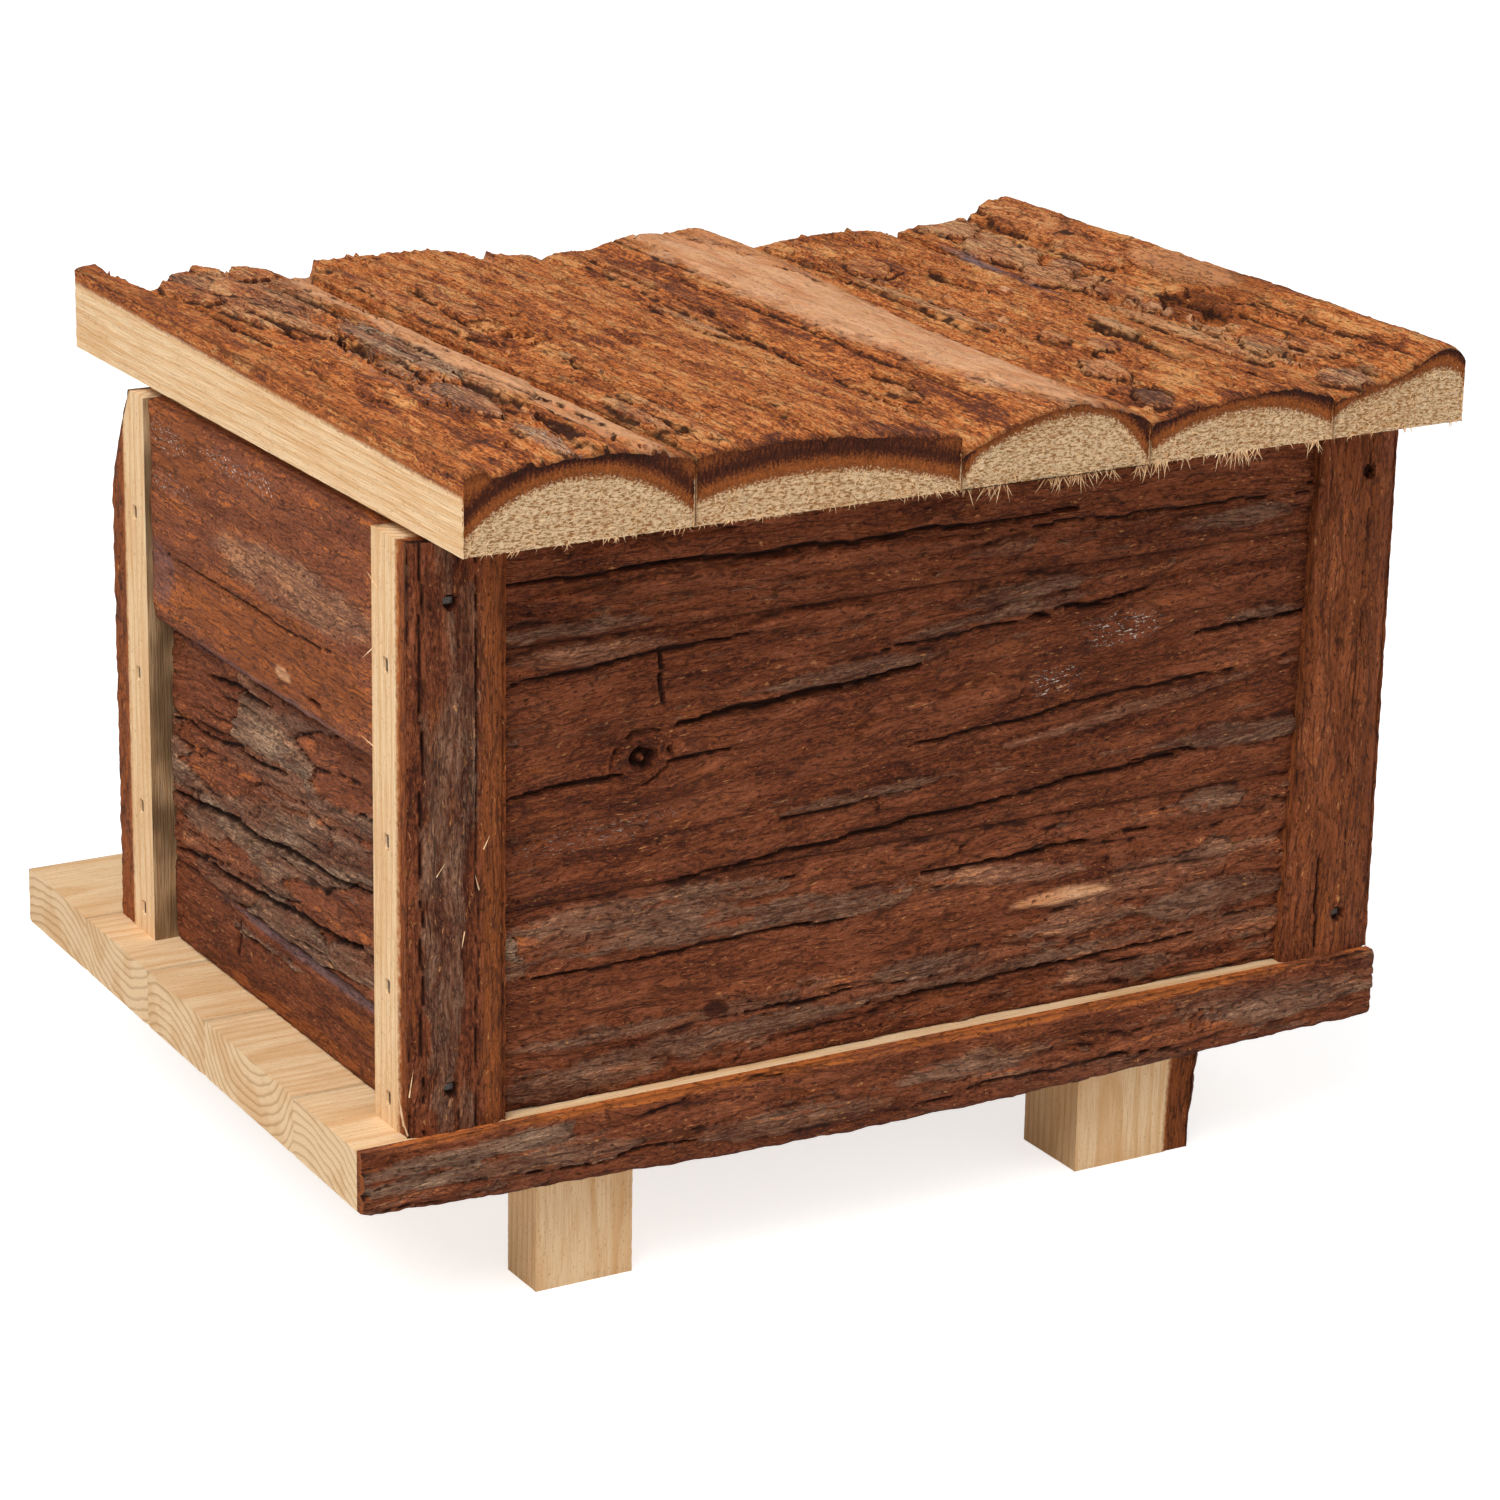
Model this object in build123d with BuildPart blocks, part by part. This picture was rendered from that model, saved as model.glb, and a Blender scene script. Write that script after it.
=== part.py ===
"""Small animal house of bark-edged boards.

A floor of five boards stands on four feet. Four corner posts hold wall boards between them,
the front wall has an arched doorway onto a porch, and five bark slabs are nailed on as a roof.
The origin is at the middle of the house, on the ground. The doorway faces -Y and +Z is up.
"""
import os

from build123d import *

os.makedirs("parts", exist_ok=True)

# Floor: five boards glued edge to edge, with the grain along X
floor_length = 241.0
floor_depth = 182.4
floor_thickness = 12.5
floor_joint_shares = (0.0, 0.194, 0.389, 0.561, 0.811, 1.0)  # from the front edge to the back
floor_end_skew = 5.5  # how far the sawn right-hand end draws in from back to front
floor_bark = 2.4  # thickness of the bark left on the back edge
floor_bark_drop = 4.0  # how far that bark hangs below the floor
floor_bark_drop_shares = (0.2, 0.7, 1.0, 0.85, 0.45)

# Feet: off-cuts of the same boards, two sawn and two with bark on one side
foot_height = 29.6
sawn_foot_width = 22.0
sawn_foot_depth = 12.3
bark_foot_width = 30.0
bark_foot_depth = 20.0
foot_corner = 4.0  # rounded corner of a bark foot
back_foot_inset = 11.8
front_foot_inset = 16.0
right_foot_share = 0.775  # along the floor from its left end to the middle of the foot
left_foot_share = 0.22

# Cabin: how far the outer faces of the posts stand in from the edges of the floor
cabin_right_inset = 11.4
cabin_back_inset = 3.0
porch_depth = 39.4
post_width = 21.6
post_depth = 16.0
post_bow = 1.6  # crown of the bark face across a post
post_top_gap = 2.0  # below the roof
post_wane_depth = 11.0  # where the bark runs off at the top of one post
post_wane_height = 25.0

# Walls: three boards high, butted between the posts
wall_height = 121.5
wall_thickness = 12.0
upper_board_recess = 0.8  # of the upper side boards, behind the sawn side faces of the posts
side_wall_recess = 4.5  # of the side boards below them
board_chamfer = 0.8
long_wall_joint_shares = (0.0, 0.346, 0.782, 1.0)
side_wall_joint_shares = (0.0, 0.152, 0.605, 1.0)
door_width = 60.0
door_height = 70.0

# Roof: five slabs side by side, flat below and bark-crowned above, with the grain along Y
roof_back_overhang = 16.2  # past the back edge of the floor
roof_front_overhang = 25.0  # past the bark faces of the front posts
roof_left_overhang = 1.3
roof_right_inset = 1.9
slab_thickness = 19.0  # at the highest crown
slab_joint_shares = (0.0, 0.212, 0.469, 0.661, 0.856, 1.0)  # from the right-hand edge to the left
slab_length_shares = (1.0, 0.985, 0.96, 0.925, 0.915)
slab_front_height_shares = (1.08, 0.98, 0.94, 0.93, 0.97)
# Each slab's top at its back end: how far across the slab, and how high
slab_outline_shares = (
    ((0.0, 0.83), (0.26, 0.87), (0.49, 0.91), (0.75, 0.88), (1.0, 0.73)),
    ((0.0, 0.75), (0.2, 0.785), (0.4, 0.785), (0.7, 0.71), (1.0, 0.6)),
    ((0.0, 0.4), (0.2, 0.58), (0.55, 0.77), (0.85, 0.65), (1.0, 0.5)),
    ((0.0, 0.47), (0.3, 0.59), (0.6, 0.64), (0.8, 0.62), (1.0, 0.5)),
    ((0.0, 0.46), (0.3, 0.56), (0.6, 0.68), (0.85, 0.75), (1.0, 0.61)),
)
slab_front_left_shares = (0.6, 0.6, 0.5, 0.5, 0.61)  # height of the left edge at the front end

# Bark broken off the first slab's front end: across the slab, and how far it stops before the end
bare_end_height = 10.6  # of the bared wood above the underside
bare_end_shares = ((0.135, 0.13), (0.25, 0.114), (0.35, 0.08), (0.45, 0.08), (0.53, 0.115), (0.6, 0.09),
                   (0.66, 0.09), (0.75, 0.125), (0.85, 0.16), (1.0, 0.1))

# Main furrows in the slabs' bark: middle along the slab from its back end, middle across, half length
furrow_width = 4.4
furrow_depth = 2.4
slab_furrow_shares = (
    ((0.66, 0.13, 0.2), (0.646, 0.618, 0.06), (0.32, 0.65, 0.1), (0.076, 0.66, 0.07),
     (0.66, 0.31, 0.08), (0.486, 0.44, 0.04), (0.3, 0.4, 0.08)),
    ((0.15, 0.5, 0.09), (0.16, 0.09, 0.1), (0.353, 0.18, 0.06), (0.386, 0.82, 0.07),
     (0.72, 0.2, 0.06), (0.62, 0.42, 0.06)),
    ((0.7, 0.11, 0.13), (0.22, 0.235, 0.07)),
    ((0.7, 0.55, 0.11), (0.56, 0.2, 0.17), (0.11, 0.25, 0.06), (0.3, 0.78, 0.12)),
    ((0.87, 0.53, 0.09), (0.66, 0.2, 0.04), (0.16, 0.4, 0.08)),
)

# The knot in the fifth slab
knot_radius = 4.2
knot_depth = 2.2
knot_along_share = 0.421
knot_across_share = 0.455

# Brads: flat steel nails, driven just below the surface
brad_length = 32.0
brad_width = 1.3
brad_thickness = 1.0
brad_head_width = 2.4
brad_head_thickness = 1.3
brad_head_height = 0.8
brad_sink = 0.5
roof_brad_seat = 7.0  # height of the roof brads' heads above the underside of the slabs
post_side_brad_shares = (0.045, 0.235, 0.48, 0.77)  # up the wall
post_face_brad_shares = (0.078, 0.885)
slab_brad_shares = (0.22, 0.62)  # across a slab
long_wall_floor_brad_shares = (0.25, 0.68)
floor_brad_inset = 5.5  # from a post's bark face to the brads that come up through the floor
floor_brad_share = 0.67  # across a post, from its outer side face
foot_brad_gap = 2.4  # from the back wall's inner face to the brads of the back feet
foot_brad_shares = (-0.22, 0.22)  # either side of the middle of a foot

overrun = 4.0  # past the surface, on every cut

# Places along X
overall_width = floor_length + roof_left_overhang
floor_right = overall_width / 2
floor_left = floor_right - floor_length
cabin_left = floor_left
cabin_right = floor_right - cabin_right_inset
cabin_middle = (cabin_left + cabin_right) / 2
wall_left_end = cabin_left + post_width
wall_right_end = cabin_right - post_width
roof_right = cabin_right - roof_right_inset
roof_left = floor_left - roof_left_overhang
roof_width = roof_right - roof_left

# Places along Y
overall_depth = floor_depth + roof_back_overhang
floor_front = -overall_depth / 2
floor_back = floor_front + floor_depth
cabin_back = floor_back - cabin_back_inset
cabin_front = floor_front + porch_depth
back_wall_inner = cabin_back - post_depth
front_wall_inner = cabin_front + post_depth
roof_back = floor_back + roof_back_overhang
roof_front = cabin_front - roof_front_overhang
roof_depth = roof_back - roof_front

# Places along Z
floor_top = foot_height + floor_thickness
wall_top = floor_top + wall_height
post_top = wall_top - post_top_gap


def between(low, high, share):
    """The place that lies a share of the way from low to high."""
    return low + (high - low) * share


def spans(low, high, shares):
    """The stretches between one joint and the next."""
    places = [between(low, high, share) for share in shares]
    return list(zip(places, places[1:]))


def finish(piece, name):
    """Label a finished piece and write it."""
    piece.part.label = name
    export_step(piece.part, f"parts/{name}.step")


# Where the brads go: each plane lies on the surface and looks along the brad
back_brad_y = back_wall_inner + wall_thickness / 2
front_brad_y = front_wall_inner - wall_thickness / 2
side_wall_inset = upper_board_recess + wall_thickness  # from the posts' side faces to the inside
side_brad_inset = side_wall_recess + (side_wall_inset - side_wall_recess) / 2

post_side_planes = [
    Plane(origin=(x, y, between(floor_top, wall_top, share)), x_dir=(0, 0, 1), z_dir=(inward, 0, 0))
    for x, inward in ((cabin_right, -1), (cabin_left, 1))
    for y in (back_brad_y, front_brad_y)
    for share in post_side_brad_shares
]
post_face_planes = [
    Plane(origin=(x, y, between(floor_top, wall_top, share)), x_dir=(1, 0, 0), z_dir=(0, inward, 0))
    for x in (cabin_right - side_brad_inset, cabin_left + side_brad_inset)
    for y, inward in ((cabin_back, -1), (cabin_front, 1))
    for share in post_face_brad_shares
]
slab_spans = spans(roof_right, roof_left, slab_joint_shares)
roof_planes = [
    Plane(origin=(between(right, left, share), y, wall_top + roof_brad_seat),
          x_dir=(1, 0, 0), z_dir=(0, 0, -1))
    for right, left in slab_spans
    for y in (back_brad_y, front_brad_y)
    for share in slab_brad_shares
]
floor_brad_places = [
    (x, y)
    for x in (cabin_left + post_width * floor_brad_share, cabin_right - post_width * floor_brad_share)
    for y in (cabin_back - floor_brad_inset, cabin_front + floor_brad_inset)
]
floor_brad_places += [
    (between(wall_left_end, wall_right_end, share), y)
    for y in (back_brad_y, front_brad_y)
    for share in long_wall_floor_brad_shares
]
floor_planes = [
    Plane(origin=(x, y, foot_height), x_dir=(1, 0, 0), z_dir=(0, 0, 1)) for x, y in floor_brad_places
]

# Feet: name, middle along X, back face, width, depth, whether one side has bark, and where the brads go
right_foot_x = between(floor_left, floor_right, right_foot_share)
left_foot_x = between(floor_left, floor_right, left_foot_share)
back_feet_back = floor_back - back_foot_inset
front_feet_front = floor_front + front_foot_inset
back_feet_brad_y = back_wall_inner - foot_brad_gap
front_feet_brad_y = front_feet_front + sawn_foot_depth / 2
feet = (
    ("foot_back_right", right_foot_x, back_feet_back,
     sawn_foot_width, sawn_foot_depth, False, back_feet_brad_y),
    ("foot_back_left", left_foot_x, back_feet_back,
     bark_foot_width, bark_foot_depth, True, back_feet_brad_y),
    ("foot_front_right", right_foot_x, front_feet_front + sawn_foot_depth,
     sawn_foot_width, sawn_foot_depth, False, front_feet_brad_y),
    ("foot_front_left", left_foot_x, front_feet_front + bark_foot_depth,
     bark_foot_width, bark_foot_depth, True, front_feet_brad_y),
)
foot_planes = [
    Plane(origin=(middle + width * share, brad_y, floor_top), x_dir=(1, 0, 0), z_dir=(0, 0, -1))
    for name, middle, back, width, depth, has_bark, brad_y in feet
    for share in foot_brad_shares
]

from_below = (Align.CENTER, Align.CENTER, Align.MIN)


def drive(planes, sink, depth_above=0):
    """A flat head over a flat shank on each plane, the head reaching depth_above past the plane."""
    with Locations(*[plane.offset(sink - depth_above) for plane in planes]):
        Box(brad_head_width, brad_head_thickness, depth_above + brad_head_height, align=from_below)
    with Locations(*[plane.offset(sink + brad_head_height) for plane in planes]):
        Box(brad_width, brad_thickness, brad_length - brad_head_height, align=from_below)


def brads(name, planes, sink):
    """A group of like brads."""
    with BuildPart() as group:
        drive(planes, sink)
    finish(group, name)


brads("post_side_brads", post_side_planes, brad_sink)
brads("post_face_brads", post_face_planes, post_bow)
brads("roof_brads", roof_planes, 0)
brads("floor_brads", floor_planes, brad_sink)
brads("foot_brads", foot_planes, brad_sink)

# Cutters for all the pockets, open to the surface above each head
with BuildPart() as brad_pockets:
    drive(post_side_planes, brad_sink, brad_sink + overrun)
    drive(post_face_planes, post_bow, post_bow + overrun)
    drive(roof_planes, 0, slab_thickness + overrun)
    drive(floor_planes, brad_sink, brad_sink + overrun)
    drive(foot_planes, brad_sink, brad_sink + overrun)


def wooden_block(name, x_span, y_span, z_span, outer_face=None):
    """A sawn board, with the edges of its outer face eased and the brads' pockets cut."""
    with BuildPart() as block:
        with BuildSketch(Plane.XY.offset(z_span[0])):
            with Locations((sum(x_span) / 2, sum(y_span) / 2)):
                Rectangle(x_span[1] - x_span[0], y_span[1] - y_span[0])
        extrude(amount=z_span[1] - z_span[0])
        if outer_face:
            axis, place = outer_face
            chamfer(block.faces().sort_by(axis)[place].edges(), board_chamfer)
        add(brad_pockets.part, mode=Mode.SUBTRACT)
    finish(block, name)


# Floor boards, numbered from the back
floor_spans = list(reversed(spans(floor_front, floor_back, floor_joint_shares)))
for number, (front, back) in enumerate(floor_spans, start=1):
    right_ends = [floor_right - floor_end_skew * (floor_back - y) / floor_depth for y in (front, back)]
    with BuildPart() as floor_board:
        with BuildSketch(Plane.XY.offset(foot_height)):
            with BuildLine():
                Polyline((floor_left, front), (right_ends[0], front), (right_ends[1], back),
                         (floor_left, back), close=True)
            make_face()
        extrude(amount=floor_thickness)
        if number == 1:
            with BuildSketch(Plane.XZ.offset(-floor_back)):
                with BuildLine():
                    Polyline((right_ends[1], foot_height), (right_ends[1], floor_top),
                             (floor_left, floor_top), (floor_left, foot_height))
                    lower_edge = [
                        (between(floor_left, right_ends[1], (place + 1) / (len(floor_bark_drop_shares) + 1)),
                         foot_height - floor_bark_drop * share)
                        for place, share in enumerate(floor_bark_drop_shares)
                    ]
                    Spline((floor_left, foot_height), *lower_edge, (right_ends[1], foot_height))
                make_face()
            extrude(amount=floor_bark)
        add(brad_pockets.part, mode=Mode.SUBTRACT)
    finish(floor_board, f"floor_board_{number}")

# Feet
for name, middle, back, width, depth, has_bark, brad_y in feet:
    with BuildPart() as foot:
        with BuildSketch(Plane.XY):
            with Locations((middle, back - depth / 2)):
                Rectangle(width, depth)
        extrude(amount=foot_height)
        if has_bark:
            fillet(foot.edges().filter_by(Axis.Z).group_by(Axis.X)[0], foot_corner)
        add(brad_pockets.part, mode=Mode.SUBTRACT)
    finish(foot, name)

# Corner posts: split logs with the bark on the outside
posts = (
    ("post_back_right", wall_right_end, cabin_right, cabin_back, -1),
    ("post_back_left", cabin_left, wall_left_end, cabin_back, -1),
    ("post_front_right", wall_right_end, cabin_right, cabin_front, 1),
    ("post_front_left", cabin_left, wall_left_end, cabin_front, 1),
)
for name, left, right, face, inward in posts:
    with BuildPart() as post:
        with BuildSketch(Plane.XY.offset(floor_top)):
            with BuildLine():
                edge = face + inward * post_bow
                ThreePointArc((left, edge), ((left + right) / 2, face), (right, edge))
                Polyline((right, edge), (right, face + inward * post_depth),
                         (left, face + inward * post_depth), (left, edge))
            make_face()
        extrude(amount=post_top - floor_top)
        if name == "post_front_right":
            with BuildSketch(Plane.YZ.offset(left - overrun)):
                with BuildLine():
                    Polyline((face - overrun, post_top - post_wane_height),
                             (face, post_top - post_wane_height),
                             (face + post_wane_depth, post_top),
                             (face + post_wane_depth, post_top + overrun),
                             (face - overrun, post_top + overrun), close=True)
                make_face()
            extrude(amount=post_width + overrun + overrun, mode=Mode.SUBTRACT)
        add(brad_pockets.part, mode=Mode.SUBTRACT)
    finish(post, name)

# Long walls, from the floor up to the roof
long_wall_spans = spans(floor_top, wall_top, long_wall_joint_shares)
courses = ("lower", "middle", "upper")
for course, z_span in zip(courses, long_wall_spans):
    wooden_block(f"back_wall_{course}", (wall_left_end, wall_right_end),
                 (back_wall_inner, back_wall_inner + wall_thickness), z_span, (Axis.Y, -1))

door_left = cabin_middle - door_width / 2
door_right = cabin_middle + door_width / 2
arch_spring = floor_top + door_height - door_width / 2
with BuildPart() as door_cut:
    with BuildSketch(Plane.XZ.offset(-front_wall_inner - overrun)):
        with BuildLine():
            Polyline((door_left, arch_spring), (door_left, floor_top), (door_right, floor_top),
                     (door_right, arch_spring))
            ThreePointArc((door_right, arch_spring), (cabin_middle, floor_top + door_height),
                          (door_left, arch_spring))
        make_face()
    extrude(amount=wall_thickness + overrun + overrun)


def front_board(name, x_span, z_span):
    """A front wall board, with whatever part of the doorway crosses it cut away."""
    with BuildPart() as board:
        with BuildSketch(Plane.XZ.offset(-front_wall_inner)):
            with Locations((sum(x_span) / 2, sum(z_span) / 2)):
                Rectangle(x_span[1] - x_span[0], z_span[1] - z_span[0])
        extrude(amount=wall_thickness)
        chamfer(board.faces().sort_by(Axis.Y)[0].edges(), board_chamfer)
        add(door_cut.part, mode=Mode.SUBTRACT)
        add(brad_pockets.part, mode=Mode.SUBTRACT)
    finish(board, name)


front_board("front_wall_lower_left", (wall_left_end, door_left), long_wall_spans[0])
front_board("front_wall_lower_right", (door_right, wall_right_end), long_wall_spans[0])
front_board("front_wall_middle", (wall_left_end, wall_right_end), long_wall_spans[1])
front_board("front_wall_upper", (wall_left_end, wall_right_end), long_wall_spans[2])

# Side walls, between the posts
side_wall_spans = spans(floor_top, post_top, side_wall_joint_shares)
for course, z_span in zip(courses, side_wall_spans):
    recess = upper_board_recess if course == "upper" else side_wall_recess
    wooden_block(f"right_wall_{course}", (cabin_right - side_wall_inset, cabin_right - recess),
                 (front_wall_inner, back_wall_inner), z_span, (Axis.X, -1))
    wooden_block(f"left_wall_{course}", (cabin_left + recess, cabin_left + side_wall_inset),
                 (front_wall_inner, back_wall_inner), z_span, (Axis.X, 0))


def slab_outline(y, right, left, points, height):
    """Sketch across one slab: flat below, upright sawn edges, and a bark crown above."""
    crown = [(between(right, left, across), wall_top + height * up) for across, up in points]
    with BuildSketch(Plane.XZ.offset(-y)) as outline:
        with BuildLine():
            Spline(*crown)
            Polyline(crown[-1], (left, wall_top), (right, wall_top), crown[0])
        make_face()
    return outline.sketch


def crown_share(points, across):
    """Height of a slab's top at a place across it, as a share, straight between its points."""
    for (near, near_up), (far, far_up) in zip(points, points[1:]):
        if across <= far:
            return between(near_up, far_up, (across - near) / (far - near))
    return points[-1][1]


# Roof slabs, numbered from the right
for number, (right, left) in enumerate(slab_spans, start=1):
    points = slab_outline_shares[number - 1]
    slab_front = roof_back - roof_depth * slab_length_shares[number - 1]
    front_height = slab_thickness * slab_front_height_shares[number - 1]
    back_outline = slab_outline(roof_back, right, left, points, slab_thickness)
    front_points = (*points[:-1], (points[-1][0], slab_front_left_shares[number - 1]))
    front_outline = slab_outline(slab_front, right, left, front_points, front_height)

    def on_top(along, across):
        """The place on the slab's top at these shares of its length and width."""
        height = between(slab_thickness, front_height, along) * crown_share(points, across)
        return between(right, left, across), between(roof_back, slab_front, along), wall_top + height

    with BuildPart() as slab:
        loft([back_outline, front_outline])
        for along, across, reach in slab_furrow_shares[number - 1]:
            x, y, z = on_top(along, across)
            length = 2 * reach * (roof_back - slab_front)
            with BuildSketch(Plane(origin=(x, y, z + furrow_depth))) as furrow:
                Polygon((furrow_width, 0), (0, length), (-furrow_width, 0), (0, -length))
            loft([furrow.face(), Vertex(x, y, z - furrow_depth)], ruled=True, mode=Mode.SUBTRACT)
        if number == 1:
            reach = roof_back - slab_front
            with BuildSketch(Plane.XY.offset(wall_top + bare_end_height)):
                edge = [(between(right, left, across), slab_front + reach * share)
                        for across, share in bare_end_shares]
                Polygon((edge[0][0], slab_front - overrun), *edge, (edge[-1][0] - overrun, edge[-1][1]),
                        (edge[-1][0] - overrun, slab_front - overrun), align=None)
            extrude(amount=slab_thickness, mode=Mode.SUBTRACT)
        if number == len(slab_spans):
            with Locations(on_top(knot_along_share, knot_across_share)):
                Cone(0, knot_radius * 2, knot_depth * 2, mode=Mode.SUBTRACT)
        add(brad_pockets.part, mode=Mode.SUBTRACT)
    finish(slab, f"roof_slab_{number}")
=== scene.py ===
"""The looks of a small animal house of bark-edged boards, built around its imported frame.

Each board, post and slab is a closed skin over a grid of points. Shapes are worked out in millimetres,
in the piece's own directions: s along the grain, t across it and d out towards the bark."""
import math

import bpy
import numpy as np
from bpy.props import FloatProperty, FloatVectorProperty, IntProperty, PointerProperty
from mathutils import Matrix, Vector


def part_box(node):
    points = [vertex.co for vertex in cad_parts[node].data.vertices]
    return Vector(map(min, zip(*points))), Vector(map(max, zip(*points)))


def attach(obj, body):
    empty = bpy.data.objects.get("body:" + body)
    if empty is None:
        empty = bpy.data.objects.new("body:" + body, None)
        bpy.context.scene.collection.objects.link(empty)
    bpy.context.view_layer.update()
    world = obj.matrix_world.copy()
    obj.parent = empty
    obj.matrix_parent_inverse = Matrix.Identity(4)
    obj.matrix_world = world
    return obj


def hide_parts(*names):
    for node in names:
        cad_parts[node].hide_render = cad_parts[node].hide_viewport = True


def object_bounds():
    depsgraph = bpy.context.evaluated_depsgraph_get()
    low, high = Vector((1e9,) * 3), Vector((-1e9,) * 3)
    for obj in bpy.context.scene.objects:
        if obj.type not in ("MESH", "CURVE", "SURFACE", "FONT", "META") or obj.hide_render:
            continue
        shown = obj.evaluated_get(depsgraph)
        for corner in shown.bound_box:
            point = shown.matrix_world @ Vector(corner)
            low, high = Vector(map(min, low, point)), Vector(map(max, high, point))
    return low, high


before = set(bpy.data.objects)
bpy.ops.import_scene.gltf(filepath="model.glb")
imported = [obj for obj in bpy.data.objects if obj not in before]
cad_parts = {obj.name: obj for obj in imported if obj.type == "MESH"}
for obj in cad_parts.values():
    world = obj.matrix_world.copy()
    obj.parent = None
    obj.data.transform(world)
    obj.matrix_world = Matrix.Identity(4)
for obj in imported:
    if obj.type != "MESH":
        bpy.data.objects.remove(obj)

bl_info = {
    "name": "Bark animal house",
    "version": (1, 0, 0),
    "blender": (4, 5, 0),
    "location": "View3D > Sidebar > Bark house",
    "description": "Bark boards, posts, roof slabs and sawn floor of a small animal house",
    "category": "Add Mesh",
}

CAD_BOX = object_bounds()
MM = 0.001  # metres in a millimetre
X, Y, Z = np.eye(3)


def linear(text):
    """Linear RGBA of an sRGB hex colour."""
    channels = [int(text[i:i + 2], 16) / 255 for i in (1, 3, 5)]
    return tuple(c / 12.92 if c <= 0.04045 else ((c + 0.055) / 1.055) ** 2.4 for c in channels) + (1.0,)


def length(name, description, millimetres):
    """A size that the sidebar shows."""
    return FloatProperty(name=name, description=description, default=millimetres * MM, min=0,
                         unit="LENGTH", precision=5)


def colour(name, description, text):
    """A colour that the sidebar shows."""
    return FloatVectorProperty(name=name, description=description, default=linear(text), size=4,
                               min=0, max=1, subtype="COLOR")


class HouseSizes(bpy.types.PropertyGroup):
    """Sizes of the relief and of the small loose fibres."""
    bark_grid: length("Bark grid", "Spacing of the points that carry the bark's relief", 0.55)
    sawn_grid: length("Sawn grid", "Spacing of the points of a sawn face", 1.6)
    wall_bark: length("Wall bark", "Thickness of the bark on the wall boards", 3.2)
    post_bark: length("Post bark", "Thickness of the bark on the posts", 5.4)
    roof_bark: length("Roof bark", "Thickness of the bark on the roof slabs", 5.0)
    ring: length("Growth ring", "Width of one year's growth in the wood", 2.1)
    torn_fibre: length("Torn fibre", "Longest fibre that the saw left on a slab's lower edge", 4.2)
    torn_fibres: IntProperty(name="Torn fibres", description="Fibres along the slabs' lower edges",
                             default=420, min=0)


class HouseColours(bpy.types.PropertyGroup):
    """Colours of dry conifer bark, fresh sawn softwood and plain steel."""
    # Cracks, hollows and flake feet darken towards the crack colour: partly their own dark colour, partly painted
    # shade.
    crack: colour("Crack", "Bottom of the cracks", "#27110A")
    bark_deep: colour("Deep bark", "Darkest bark", "#32160C")
    bark_dark: colour("Dark bark", "Dark red-brown bark", "#592A17")
    bark_middle: colour("Bark", "Red-brown bark", "#814427")
    # The walls and posts use this colour in place of bark_light: partly their own darker bark, partly painted shade.
    bark_red: colour("Red bark", "Lighter red-brown bark in the shade", "#93553A")
    bark_light: colour("Light bark", "Orange-brown bark", "#D07436")
    bark_pale: colour("Pale bark", "Palest rubbed bark", "#DE9C60")
    ash_dark: colour("Weathered dark", "Darker weathered flakes", "#5F4536")
    ash_light: colour("Weathered light", "Lighter weathered flakes", "#92755F")
    ash_pale: colour("Weathered pale", "Palest weathered flakes", "#CBA582")
    rust: colour("Inner fibre", "Rust-orange fibres next to the wood", "#AA5E2C")
    stain: colour("Stain", "Dried glue on bare wood", "#6A5137")
    bare: colour("Barked strip", "Pinkish tan where the bark has peeled off", "#EDB48A")
    resin: colour("Resin", "Dried resin and scratches", "#E2D3C4")
    glue: colour("Glue", "Blue-grey film of glue at a joint", "#736B72")
    early: colour("Early wood", "Cream wood between the rings", "#FBD8AB")
    late: colour("Late wood", "Tan wood of the rings", "#DDA468")
    end: colour("End grain", "Darker rough end grain", "#A56A33")
    steel: colour("Steel", "Dull steel of the brads", "#4A4744")


class HouseSettings(bpy.types.PropertyGroup):
    """Everything that the sidebar lets a user change."""
    sizes: PointerProperty(type=HouseSizes, name="Sizes", description="Sizes of the surface detail")
    colours: PointerProperty(type=HouseColours, name="Colours", description="Colours of the materials")


def size(name):
    """One of the sidebar's sizes, in millimetres."""
    return getattr(bpy.context.scene.bark_house.sizes, name) / MM


# Noise and small helpers, all on whole arrays

def smooth(low, high, x):
    """Cubic ease from 0 at low to 1 at high, which may be the lower: 3q^2 - 2q^3 of the clipped share."""
    q = np.clip((x - low) / (high - low), 0, 1)
    return q * q * (3 - 2 * q)


def gradient_noise(x, y, seed):
    """Gradient noise: each corner of a unit lattice holds a seeded unit vector, and a point blends the
    four corners' dot products with a quintic ease. About -0.7 to 0.7."""
    angle = np.random.default_rng(seed).uniform(0, 2 * math.pi, (256, 256))
    column, row = np.floor(x).astype(int), np.floor(y).astype(int)
    fx, fy = x - column, y - row
    ease_x = fx ** 3 * (fx * (fx * 6 - 15) + 10)
    ease_y = fy ** 3 * (fy * (fy * 6 - 15) + 10)
    corners = []
    for i in (0, 1):
        for j in (0, 1):
            turn = angle[(column + i) % 256, (row + j) % 256]
            corners.append(np.cos(turn) * (fx - i) + np.sin(turn) * (fy - j))
    low = corners[0] + (corners[1] - corners[0]) * ease_y
    high = corners[2] + (corners[3] - corners[2]) * ease_y
    return low + (high - low) * ease_x


def fractal(x, y, seed, octaves=4, gain=0.5):
    """Sum of gradient noises, each twice as fine and gain times as strong, scaled to about -1 to 1."""
    total, strength, reach = 0, 1.0, 0
    for octave in range(octaves):
        total = total + strength * gradient_noise(x * 2 ** octave, y * 2 ** octave, seed + octave)
        reach += strength
        strength *= gain
    return total * 1.8 / reach


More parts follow.
